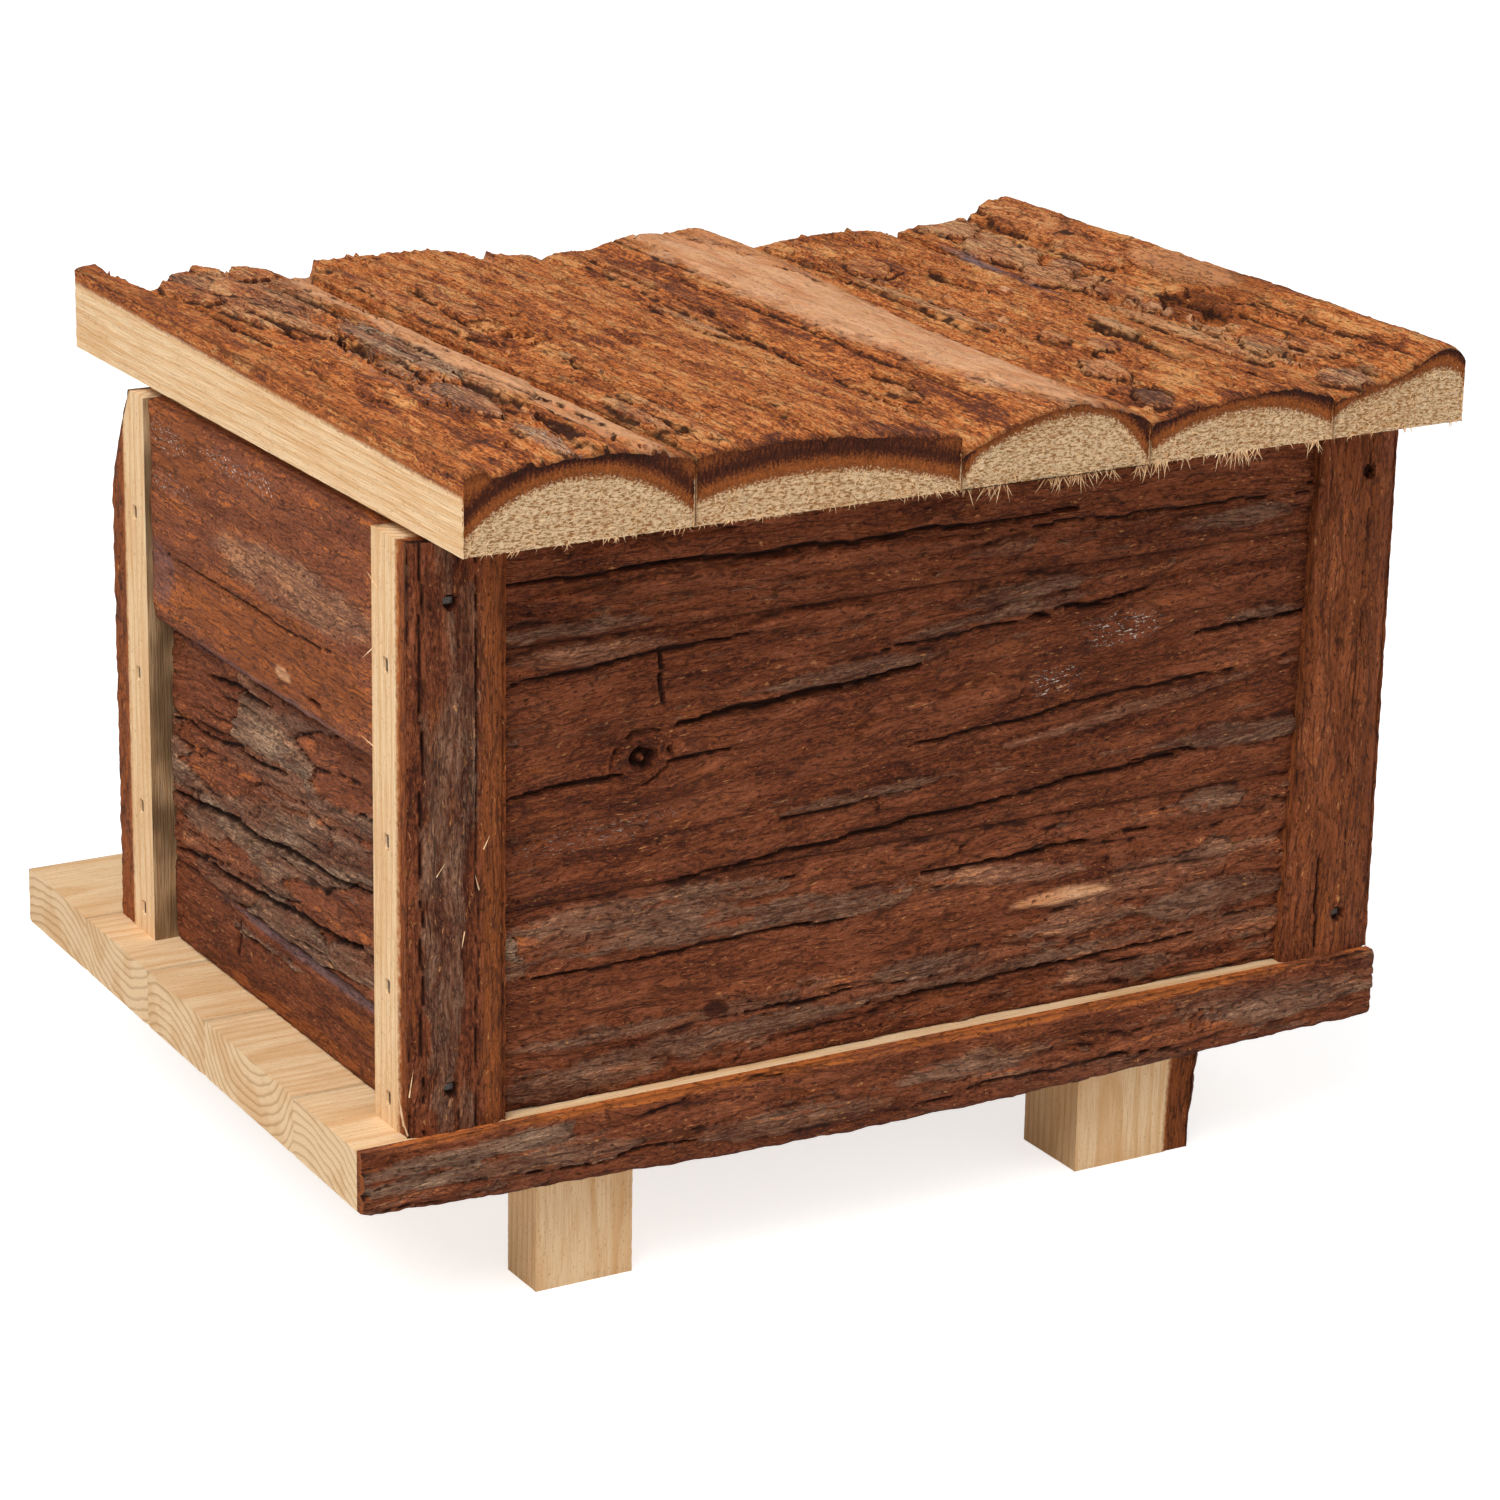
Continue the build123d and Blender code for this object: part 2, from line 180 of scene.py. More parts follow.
def cells(x, y, seed):
    """Cell pattern: each unit square holds one seeded point. For each place it gives the nearest point,
    the second nearest, and the nearest one's own two chance values."""
    table = np.random.default_rng(seed).uniform(0, 1, (4, 256, 256))
    column, row = np.floor(x).astype(int), np.floor(y).astype(int)
    first = np.full(x.shape, 9.0)
    second = np.full(x.shape, 9.0)
    near, next_near = np.zeros((2,) + x.shape), np.zeros((2,) + x.shape)
    chance = np.zeros((2,) + x.shape)
    for i in (-1, 0, 1):
        for j in (-1, 0, 1):
            spot = table[:, (column + i) % 256, (row + j) % 256]
            px, py = column + i + 0.1 + 0.8 * spot[0], row + j + 0.1 + 0.8 * spot[1]
            distance = np.hypot(x - px, y - py)
            closer = distance < first
            between = ~closer & (distance < second)
            next_near = np.where(closer, near, np.where(between, (px, py), next_near))
            second = np.where(closer, first, np.where(between, distance, second))
            near = np.where(closer, (px, py), near)
            chance = np.where(closer, spot[2:], chance)
            first = np.where(closer, distance, first)
    return near, next_near, chance


def blurred(field, reach):
    """Box average of a 2-D field over 2 reach + 1 cells each way, by running sums along each axis."""
    for axis in (0, 1):
        padding = [(reach + 1, reach) if a == axis else (0, 0) for a in (0, 1)]
        sums = np.cumsum(np.pad(field, padding, mode="edge"), axis=axis)
        width = 2 * reach + 1
        upper = np.take(sums, range(width, sums.shape[axis]), axis)
        field = (upper - np.take(sums, range(sums.shape[axis] - width), axis)) / width
    return field


# Bark. Lengths are in millimetres, and the shares run from 0 to 1

BARK = dict(
    slope=0.0,  # rise of the grain across the board for each millimetre along it
    sway=1.3,
    plate=(44, 6.5),  # length and width of one plate of outer bark
    bare=0.45,  # share of the plates that has flaked off
    grey=0.45,
    tier=0.5,  # height of one layer
    crack=0.7,
    furrow=0.8,
    furrow_size=(90, 8),
    furrow_share=0.35,
    flake=0.16,
    fibre=0.1,
    swell=0.6,
    tone=0.45,  # how light the board is
    rough=1.0,
    shade=0.8,  # how dark the hollows and cracks are drawn
)


FLAKES = {  # lifted flakes with a crisp rim, and how each one is shaded
    "tan": dict(grey=0.75, light=0.14, bare=0.7, fresh=0.0),
    "ash": dict(grey=1.0, light=0.0, bare=0.5, fresh=0.0),
    "leaf": dict(grey=0.25, light=0.0, bare=0.4),
    "red": dict(grey=0.0, light=0.1, bare=1.0),
    "peel": dict(pale=0.6, grey=0.0, bare=1.0),
}


def oval(s, t, mark, slope, ragged):
    """1 inside an oval that follows the grain, easing to 0 over its ragged rim."""
    place, side, half_long, half_wide = mark
    away = np.hypot((s - place) / half_long, (t - side - slope * (s - place)) / half_wide)
    return 1 - smooth(0.75, 1.1, away + ragged)


def plates(u, v, size, seed):
    """Stretched cells: each place's nearest centre, two chance values and distance to its border."""
    near, next_near, chance = cells(u / size[0], v / size[1], seed)
    gap = next_near - near
    border = (gap * ((near + next_near) / 2 - np.stack([u / size[0], v / size[1]]))).sum(0)
    border = border / np.maximum(np.hypot(gap[0] / size[0], gap[1] / size[1]), 1e-6)
    return near, chance, border


def bark(s, t, seed, knots=(), marks=(), **look):
    """Relief and tone of bark over a grid.

    The place across the grain is bent by slow noise and pushed aside by knots. Stretched cells in that
    bent place are the plates of the outer bark: a plate's level is the whole part of slow noise at its
    centre, its rim falls off exponentially towards the crack at its border, and the crack is an
    exponential notch. Ridged noise, 1 less the size of a stretched fractal, cuts the long furrows, and
    the whole part of a finer fractal leaves thin flakes, with painted shade along their foot. Marks put
    single features where the board has them. Returns a dict of fields: height, painted shade in the
    hollows, cracks, furrows, knot holes and at the flakes' feet, and shares of grey, fresh, pale, resin,
    glue and tone."""
    look = {**BARK, **look}
    slope, middle = look["slope"], s.mean()
    across = t - slope * (s - middle) + look["sway"] * fractal(s / 75, t / 45, seed + 1, 2)
    hole, knob = np.zeros_like(s), np.zeros_like(s)
    for place, side, radius in knots:
        ds, dt = s - place, t - side - slope * (s - place)
        near = np.exp(-(ds / (2.6 * radius)) ** 2) * np.exp(-np.abs(dt) / (1.6 * radius))
        across = across - np.tanh(dt / radius) * radius * 0.9 * near
        away = np.hypot(ds * 0.85, dt) / radius + 0.16 * fractal(s / 3, t / 3, seed + 2, 3)
        spokes = fractal(np.arctan2(dt, ds) * 2.2, away, seed + 3, 2)
        hole = np.maximum(hole, smooth(0.12, 0.3, away) - smooth(0.42, 0.6, away + 0.1 * spokes))
        knob = knob + 0.8 * np.exp(-((away - 0.85) / 0.2) ** 2) + 0.6 * np.exp(-(away / 0.16) ** 2)
        knob = knob + 0.3 * np.cos(away * 17 + 2 * spokes) * np.exp(-(away - 1) ** 2 * 2) * (away > 0.6)
        knob = knob - 1.0 * np.exp(-((away - 1.25) / 0.1) ** 2) * smooth(-0.3, 0.3, spokes)
    u = s + 6 * fractal(s / 26, across / 8, seed + 3, 3)
    v = across + 1.0 * fractal(s / 17, across / 5, seed + 4, 3) + 0.25 * fractal(s / 5, across / 2, seed + 7, 2)
    ragged = 0.3 * fractal(s / 9, across / 3, seed + 5, 4)

    set_by = {kind: np.zeros_like(s) for kind in ("bare", "plates", "grey", "brown", "fresh", "pale",
                                                  "dark", "light", "resin", "glue", "rise", "rough")}
    on_flake, lifted, flake_foot_shadow = np.zeros_like(s), np.zeros_like(s), np.zeros_like(s)
    cut = hole * 1.0
    notch = 2.4 * hole
    for kind, strength, *mark in marks:
        if kind == "break":
            place, side, half_wide, half_long = mark
            wander = 1.6 * fractal(s / 30, t / 9, seed + 8, 4)
            here = np.clip(1 - np.abs(s - place - wander) / half_wide, 0, 1)
            here = here * smooth(1.0, 0.7, np.abs(t - side) / half_long)
            notch, cut = np.maximum(notch, strength * here), np.maximum(cut, smooth(0, 0.5, here))
        elif kind == "furrow":
            place, side, half_long, half_wide = mark
            taper = np.sqrt(np.clip(1 - ((s - place) / half_long) ** 2, 0, 1))
            wander = 1.1 * fractal(s / 14, t / 30, seed + 6, 4)
            below = t - side - slope * (s - place) - wander
            away = np.abs(below) / (half_wide * taper * (0.65 + 0.9 * np.abs(ragged)) + 0.01)
            here = np.clip(1 - away, 0, 1) * (taper > 0)
            notch = np.maximum(notch, strength * np.sqrt(here))
            cut = np.maximum(cut, smooth(0, 0.5, here))
            lip = np.exp(-np.abs(below) / 2.5) * taper
            set_by["rise"] = set_by["rise"] + 0.22 * strength * lip * np.where(below > 0, 1, -0.4)
        elif kind in FLAKES:
            place, side, half_long, half_wide, lean = mark
            drift = t - side - lean * (s - place)
            wide = half_wide * np.clip(1 - np.abs((s - place) / half_long) ** 2.2, 0, 1) ** 0.8
            wide = wide + 0.4 * half_wide * fractal(s / 8, t / 3, seed + 9, 3)
            rim = wide - np.abs(drift) + 0.5 * fractal(s / 3, t / 1.2, seed, 3) - 0.5 * (wide < 0.1)
            inside = smooth(-0.2, 0.3, rim)
            tilt = 1 + 0.25 * np.clip(drift / half_wide, -1, 1)
            lifted = lifted * (1 - inside) + 0.7 * strength * inside * tilt
            # Painted shadow: a dark line, in patches, just outside each flake's rim, where the lifted flake would shade
            # the bark below it.
            foot_shadow_line = strength ** 0.5 * np.exp(-((rim + 0.5) / 0.45) ** 2) * (np.abs(s - place) < half_long + 1)
            some = smooth(-0.4, 0.3, fractal(s / 7, t / 3, seed + 11, 2))
            flake_foot_shadow = np.maximum(flake_foot_shadow * (1 - inside), foot_shadow_line * some)
            on_flake = np.maximum(on_flake, inside)
            for shade, share in FLAKES[kind].items():
                set_by[shade] = set_by[shade] * (1 - inside) + share * inside
        else:
            inside = oval(s, t, mark, slope, ragged)
            set_by[kind] = np.maximum(set_by[kind], strength * inside)

    plate_long, plate_wide = look["plate"]
    near, chance, border = plates(u, v, look["plate"], seed + 10)
    keep = fractal(near[0] * plate_long / 70, near[1] * plate_wide / 15, seed + 14, 2)
    keep = keep + 0.6 * (chance[0] - 0.5) - (look["bare"] - 0.5) * 1.8
    keep = keep + 2 * set_by["plates"] - 2 * set_by["bare"]
    level = (keep > -0.12).astype(float) + (keep > 0.42)
    present = np.minimum(level, 1)
    crest = 0.45 * look["tier"] * (1 - np.exp(-border / 1.2)) * present
    strength = smooth(-0.6, 0.2, fractal(s / 22, across / 7, seed + 15, 2)) * present
    seam = np.exp(-(border / 0.45) ** 2) * strength

    small, small_chance, small_border = plates(u + 400, v, (15, 2.9), seed + 17)
    cover = np.maximum(present, 0.55 * smooth(-0.1, 0.2, fractal(s / 30, across / 9, seed + 19, 2)))
    cover = cover * (1 - np.clip(set_by["bare"], 0, 1) * 0.8)
    shard = (small_chance[0] - 0.5) * 0.55 * look["tier"] * cover
    small_seam = np.exp(-(small_border / 0.3) ** 2) * cover * smooth(
        -0.2, 0.3, fractal(s / 14, across / 5, seed + 18, 2))

    lost = 3.4 * (0.5 + 0.6 * fractal(u / 22, v / 4.5, seed + 20, 5, 0.6))
    whole = np.floor(lost)
    part = lost - whole
    flakes = -look["flake"] * (whole + smooth(0, 0.15, part))
    # Painted shade: a dark line along the foot of each thin flake's step.
    foot = (1 - smooth(0.02, 0.24, part)) * smooth(-0.25, 0.3, fractal(s / 15, across / 6, seed + 26, 2))

    furrow_long, furrow_wide = look["furrow_size"]
    ridge = np.abs(fractal(u / furrow_long, v / furrow_wide, seed + 30, 3, 0.45))
    where = smooth(0.0, 0.4, fractal(s / 55, across / 18, seed + 33, 2) + (look["furrow_share"] - 0.5) * 2)
    valley = (1 - smooth(0, 0.07, ridge)) * where * (1 - np.clip(set_by["bare"], 0, 1))

    fibre = look["fibre"] * (fractal(s / 5, v / 0.8, seed + 40, 3) + 0.8 * fractal(s / 1.4, t / 1.1, seed + 43, 2))
    waves = look["swell"] * fractal(s / 70, across / 12, seed + 45, 3)
    rough = look["rough"] + set_by["rough"]
    height = waves + rough * (look["tier"] * level + crest + shard + flakes)
    height = height - look["crack"] * seam - 0.45 * small_seam - look["furrow"] * valley
    height = (height - notch) * (1 - 0.75 * on_flake) + lifted + fibre + knob + set_by["rise"]

    cell = max(abs(s[1, 0] - s[0, 0]), 0.3)
    # This field is painted shade. It darkens the bark where the relief is sunk below its local average, in plate seams,
    # furrows, knot holes and cuts, at flake feet and beside lifted flakes. In the cracks it is partly their own dark
    # colour as well.
    sunk = blurred(height, max(1, int(round(1.2 / cell)))) - height
    hollow = 0.7 * smooth(0.15, 0.8, sunk) + 0.55 * seam + 0.3 * small_seam + 0.5 * valley + 0.85 * cut
    hollow = hollow + 0.35 * foot * (1 - 0.7 * np.clip(set_by["bare"], 0, 1))
    hollow = hollow * (1 - 0.7 * on_flake) + 1.1 * flake_foot_shadow
    patch = fractal(s / 40, across / 10, seed + 50, 3)
    weather = smooth(0.9, 2.1, level + 0.8 * chance[1] + 0.6 * patch - 0.15 * whole
                     + (look["grey"] - 0.5) * 2)
    grey = np.clip(weather + set_by["grey"] - set_by["brown"], 0, 1)
    tone = look["tone"] + 0.14 * (chance[1] - 0.5) * present + 0.12 * patch - 0.05 * (1 - present)
    tone = tone + 0.16 * (small_chance[1] - 0.5) * cover + 0.05 * np.cos(whole * 2.4 + seed)
    tone = tone + set_by["light"] - 0.5 * set_by["dark"]
    fresh = np.clip(set_by["fresh"] + (1 - present) * smooth(0.2, 0.8, fractal(
        s / 18, across / 4, seed + 52, 3)) * 0.5, 0, 1)
    shown = {name: np.clip(set_by[name], 0, 1) for name in ("pale", "resin", "glue")}
    return dict(shown, height=height - np.percentile(height, 80), bent=v, fresh=fresh, tone=tone,
                grey=grey * (1 - np.clip(set_by["bare"], 0, 1) * 0.6), hollow=np.clip(hollow * look["shade"], 0, 1))


SHADES = ("grey", "hollow", "fresh", "tone", "pale", "resin", "glue")


# Skins and meshes

def ticks(span, step, fine_at=(), fine_step=0.6, fine_reach=2.4):
    """Places from 0 to span, about a step apart, and finer around chosen places."""
    places = [np.linspace(0, span, max(2, int(round(span / step)) + 1))]
    for place in fine_at:
        places.append(np.arange(place - fine_reach, place + fine_reach, fine_step))
    joined = np.unique(np.round(np.clip(np.concatenate(places), 0, span), 3))
    keep = np.concatenate([[True], np.diff(joined) > 0.15])
    keep[-1] = True
    return joined[keep]


def quad_grid(index):
    """Quads between the neighbours of a 2-D array of point numbers."""
    return np.stack([index[:-1, :-1], index[1:, :-1], index[1:, 1:], index[:-1, 1:]], -1).reshape(-1, 4)


def rings_between(upper, lower):
    """Quads between two closed loops of point numbers."""
    return np.stack([upper, lower, np.roll(lower, -1), np.roll(upper, -1)], -1)


def make_piece(name, shells, material, nodes, sharp=50):
    """Joins closed shells into one mesh in metres, turns each outwards and stores its attributes.

    A shell's sign is that of its volume, the sum over its faces' triangles of a . (b x c)."""
    points, faces, sizes, ends = [], [], [], []
    values = {}
    offset = 0
    for shell in shells:
        local, quads = shell["points"], shell["quads"]
        caps = [np.atleast_2d(cap) for cap in shell["caps"]]
        volume = 0.0
        for rows in [quads] + caps:
            corners = local[rows]
            volume += np.einsum("ij,ikj->", corners[:, 0], np.cross(corners[:, 1:-1], corners[:, 2:]))
        if volume * np.linalg.det(shell["axes"]) < 0:
            quads, caps = quads[:, ::-1], [cap[:, ::-1] for cap in caps]
        normal = np.cross(local[quads[:, 2]] - local[quads[:, 0]], local[quads[:, 3]] - local[quads[:, 1]])
        normal = np.abs(normal / np.maximum(np.linalg.norm(normal, axis=1, keepdims=True), 1e-12))
        faces += [quads.ravel() + offset] + [cap.ravel() + offset for cap in caps]
        sizes += [np.full(len(quads), 4)] + [np.full(len(cap), cap.shape[1]) for cap in caps]
        ends += [smooth(0.6, 0.8, normal[:, 0])] + [np.full(len(cap), shell["cap_end"]) for cap in caps]
        points.append((shell["start"] + local @ shell["axes"]) * MM)
        for key, value in shell["values"].items():
            values.setdefault(key, []).append(value)
        offset += len(local)
    sizes, corners = np.concatenate(sizes), np.concatenate(faces)
    mesh = bpy.data.meshes.new(name)
    mesh.vertices.add(offset)
    mesh.vertices.foreach_set("co", np.concatenate(points).astype(np.float32).ravel())
    mesh.loops.add(len(corners))
    mesh.loops.foreach_set("vertex_index", corners.astype(np.int32))
    mesh.polygons.add(len(sizes))
    mesh.polygons.foreach_set("loop_start", (np.cumsum(sizes) - sizes).astype(np.int32))
    mesh.update(calc_edges=True)
    mesh.polygons.foreach_set("use_smooth", np.ones(len(sizes), bool))
    mesh.set_sharp_from_angle(angle=math.radians(sharp))
    for key, parts in values.items():
        value = np.concatenate(parts).astype(np.float32)
        layer = mesh.attributes.new(key, "FLOAT_VECTOR" if value.ndim == 2 else "FLOAT", "POINT")
        layer.data.foreach_set("vector" if value.ndim == 2 else "value", value.ravel())
    layer = mesh.attributes.new("end_grain", "FLOAT", "FACE")
    layer.data.foreach_set("value", np.concatenate(ends).astype(np.float32))
    piece = bpy.data.objects.new(name, mesh)
    bpy.context.scene.collection.objects.link(piece)
    piece.data.materials.append(material)
    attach(piece, "root")
    if nodes:
        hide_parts(*nodes)
    return piece


def corners_of(node):
    """Lowest and highest corner of a node, in millimetres."""
    return [np.array(corner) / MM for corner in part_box(node)]


def node_points(node):
    """All the points of a node's own mesh, in millimetres."""
    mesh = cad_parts[node].data
    flat = np.zeros(len(mesh.vertices) * 3, np.float32)
    mesh.vertices.foreach_get("co", flat)
    return flat.reshape(-1, 3) / MM


def brad_heads(node, axis, way=0):
    """Middle of each brad's head, and which way it faces along the axis: outwards, or the given way."""
    points = node_points(node)
    lateral = [k for k in range(3) if k != axis]
    side = np.full(len(points), way) if way else np.sign(points[:, axis])
    heads = []
    left = np.ones(len(points), bool)
    while left.any():
        seed = points[left][0]
        facing = side[left][0]
        own = left & (side == facing) & (np.abs(points[:, lateral] - seed[lateral]).max(1) < 3)
        group = points[own]
        place = (group.min(0) + group.max(0)) / 2
        place[axis] = group[:, axis].max() if facing > 0 else group[:, axis].min()
        heads.append((place, facing))
        left &= ~own
    return heads


class Board:
    """A board or slab: a grid over its bark or upper face, and what its skin is made from."""

    def __init__(self, node, along, across, out, step, extra_end=0.0, fine=((), ())):
        self.node = node
        self.axes = np.array([along, across, out])
        low, high = corners_of(node)
        self.start = np.where(along + across + out > 0, low, high)
        self.length, self.width, self.depth = (abs((high - low) @ axis) for axis in self.axes)
        self.reach = self.length + extra_end
        self.grid(ticks(self.reach, step, fine[0]), ticks(self.width, step, fine[1]))
        self.shares = np.array([0.8, 0.45, 0.0])
        self.pith = (0.5, -1.5)
        self.bark_depth = 0.0
        self.wood_line = None  # height of the wood under the bark, as a function of s and t
        self.two_sided = False
        self.shift = None
        self.seed = sum(ord(letter) * place for place, letter in enumerate(node, 1)) % 9000

    def grid(self, s, t):
        """Sets the grid from places along and across."""
        self.s, self.t = np.meshgrid(s, t, indexing="ij")
        self.clear()

    def clear(self):
        """A flat outer face with no shading of its own."""
        self.height = np.full_like(self.s, self.depth)
        self.bottom = np.zeros_like(self.s)
        self.shades = {name: np.zeros_like(self.s) for name in SHADES}
        self.shades["tone"] += BARK["tone"]
        self.bent = self.t

    def place(self, point):
        """Where a point of the house lies in the board's own directions."""
        return (np.asarray(point) - self.start) @ self.axes.T

    def cover(self, worn=0.8, sink=0.0, steady=0.4, **look):
        """Lays bark over the outer face and wears away its edges by a ragged exponential, with painted
        shade along the worn edges. Part of the relief's own drift, its wide box average, is taken off, so
        that the face stays on the solid's."""
        fields = bark(self.s, self.t, self.seed, **look)
        fields["height"] = fields["height"] - steady * blurred(fields["height"], 14)
        side = np.minimum(self.t - self.t.min(1, keepdims=True), self.t.max(1, keepdims=True) - self.t)
        end = np.minimum(self.s, self.reach - self.s)
        ragged = 0.5 * fractal(self.s / 6, self.t / 6, self.seed + 60, 3)
        edge_wear_and_shade = np.exp(-np.maximum(side + ragged, 0) / 0.7) + 0.6 * np.exp(-np.maximum(end + ragged, 0) / 0.7)
        relief = fields["height"]
        relief = np.where(relief > 0.5, 0.5 + 0.4 * np.tanh((relief - 0.5) / 0.6), relief)
        self.height = self.height + relief - worn * edge_wear_and_shade - sink
        self.shades = {name: fields[name] for name in SHADES}
        # Painted shade along the worn edges, where boards and slabs meet their neighbours.
        self.shades["hollow"] = np.clip(self.shades["hollow"] + 0.55 * edge_wear_and_shade, 0, 1)
        self.bent = fields["bent"]

    def dent(self, heads, sides=(1.4, 0.85)):
        """Sinks a slot round each brad head that lies on one of the board's two faces, filled with painted shade on the
        outer face.
        """
        for head, facing in heads:
            s0, t0, d0 = self.place(head)
            if not (0 < s0 < self.length and 0 < t0 < self.width):
                continue
            inside = (np.abs(self.s - s0) < sides[0]) & (np.abs(self.t - t0) < sides[1])
            if d0 > self.depth / 2:
                self.height = np.where(inside, d0 - 0.9, self.height)
                self.shades["hollow"] = np.where(inside, 1, self.shades["hollow"])
            else:
                self.bottom = np.where(inside, d0 + 0.9, self.bottom)

    def shell(self):
        """The closed skin: the outer grid, loops of its border carried inwards to each share of its
        height, and a flat face, or a second grid, on the inside."""
        n, m = self.s.shape
        index = np.arange(n * m).reshape(n, m)
        border = np.concatenate([index[:-1, 0], index[-1, :-1], index[:0:-1, -1], index[0, :0:-1]])
        outer = np.stack([self.s, self.t, self.height], -1).reshape(-1, 3)
        shares = self.shares[:-1] if self.two_sided else self.shares
        loops = [outer[border] * [1, 1, share] for share in shares]
        source = np.concatenate([np.arange(n * m)] + [border] * len(shares))
        share = np.concatenate([np.ones(n * m)] + [np.full(len(border), q) for q in shares])
        quads, upper = [quad_grid(index)], border
        for k in range(len(shares)):
            lower = n * m + k * len(border) + np.arange(len(border))
            quads.append(rings_between(upper, lower))
            upper = lower
        points = np.concatenate([outer] + loops)
        caps = [upper[::-1]]
        if self.two_sided:
            first = len(points)
            below = first + index
            under = np.stack([self.s, self.t, self.bottom], -1).reshape(-1, 3)
            points = np.concatenate([points, under])
            quads += [rings_between(upper, below.ravel()[border]), quad_grid(below)[:, ::-1]]
            source = np.concatenate([source, np.arange(n * m)])
            share = np.concatenate([share, np.zeros(n * m)])
            caps = []
        on_face = share == 1
        row, column = source // m, source % m
        tags = dict(near=row == 0, far=row == n - 1, low=column == 0, high=column == m - 1, share=share,
                    face=on_face)
        if self.wood_line is not None:
            into = points[:, 2] - self.wood_line(points[:, 0], points[:, 1], tags)
        else:
            into = self.bark_depth - self.height.ravel()[source] * (1 - share)
        if not self.bark_depth:
            into = np.full(len(points), -9.0)
        bent = self.bent.ravel()[source]
        values = {name: field.ravel()[source] * (on_face if name != "tone" else 1)
                  for name, field in self.shades.items()}
        values["into_bark"] = into
        values["bark_place"] = np.stack([points[:, 0] + self.seed % 97 * 10, bent, points[:, 2]], -1)
        values["wood_place"] = points - [-(self.seed % 97) * 10, self.pith[0] * self.width, self.pith[1]]
        if self.shift is not None:
            points = self.shift(points, tags, values)
        return dict(points=points, quads=np.concatenate(quads), caps=caps, axes=self.axes,
                    start=self.start, values=values, cap_end=0.0)


# Materials

def add(tree, kind, sockets=(), out=0, stops=(), **settings):
    """Adds a node with its settings and a ramp's stops, sets or links its inputs, named or in their own
    order, and returns one of its outputs."""
    node = tree.nodes.new("ShaderNode" + kind)
    for name, value in settings.items():
        setattr(node, name, value)
    if stops:
        elements = node.color_ramp.elements
        elements.remove(elements[1])
        elements[0].position, elements[0].color = stops[0]
        for place, shade in stops[1:]:
            elements.new(place).color = shade
    for key, value in (sockets if isinstance(sockets, dict) else dict(enumerate(sockets))).items():
        if isinstance(value, bpy.types.NodeSocket):
            tree.links.new(value, node.inputs[key])
        else:
            node.inputs[key].default_value = value
    return node.outputs[out] if node.outputs else node


def tint(name):
    """One of the sidebar's colours."""
    return tuple(getattr(bpy.context.scene.bark_house.colours, name))


WOOD_GRAIN = {  # millimetres along and across one lump of each noise, its detail and its roughness
    "fibre": (11, 0.45, 4.0, 0.6),
    "cloud": (45, 12, 2.0, 0.55),
    "grit": (1.0, 0.5, 2.0, 0.6),
}
BARK_GRAIN = {
    "strand": (8.0, 0.5, 4.0, 0.65),
    "blotch": (18, 5, 3.0, 0.6),
    "mottle": (6.5, 2.4, 3.0, 0.6),
    "speck": (1.3, 0.4, 3.0, 0.7),
    "pit": (1.8, 0.7, 2.0, 0.6),
    "chip": (2.2, 0.6, 2.0, 0.6),
    "flake": (11, 2.3, 4.0, 0.62),
    "some": (24, 6, 2.0, 0.55),
    "split": (26, 2.6, 3.0, 0.5),
}
EASE = {"interpolation_type": "SMOOTHSTEP"}
RGBA = {"data_type": "RGBA"}


def grain(tree, place, sizes):
    """Fractal noises over a place in millimetres, one for each row of a table of grain sizes."""
    noises = {}
    for name, (along, across, detail, rough) in sizes.items():
        scaled = add(tree, "VectorMath", (place, (1 / along, 1 / across, 1 / across)), operation="MULTIPLY")
        noises[name] = add(tree, "TexNoise", {"Vector": scaled, "Scale": 1.0, "Detail": detail,
                                              "Roughness": rough})
    return noises


def layered(tree, base, layers):
    """Lays colours over a base one by one, each given as its share and itself."""
    for share, over in layers:
        base = add(tree, "Mix", {0: share, 6: base, 7: over}, 2, **RGBA)
    return base


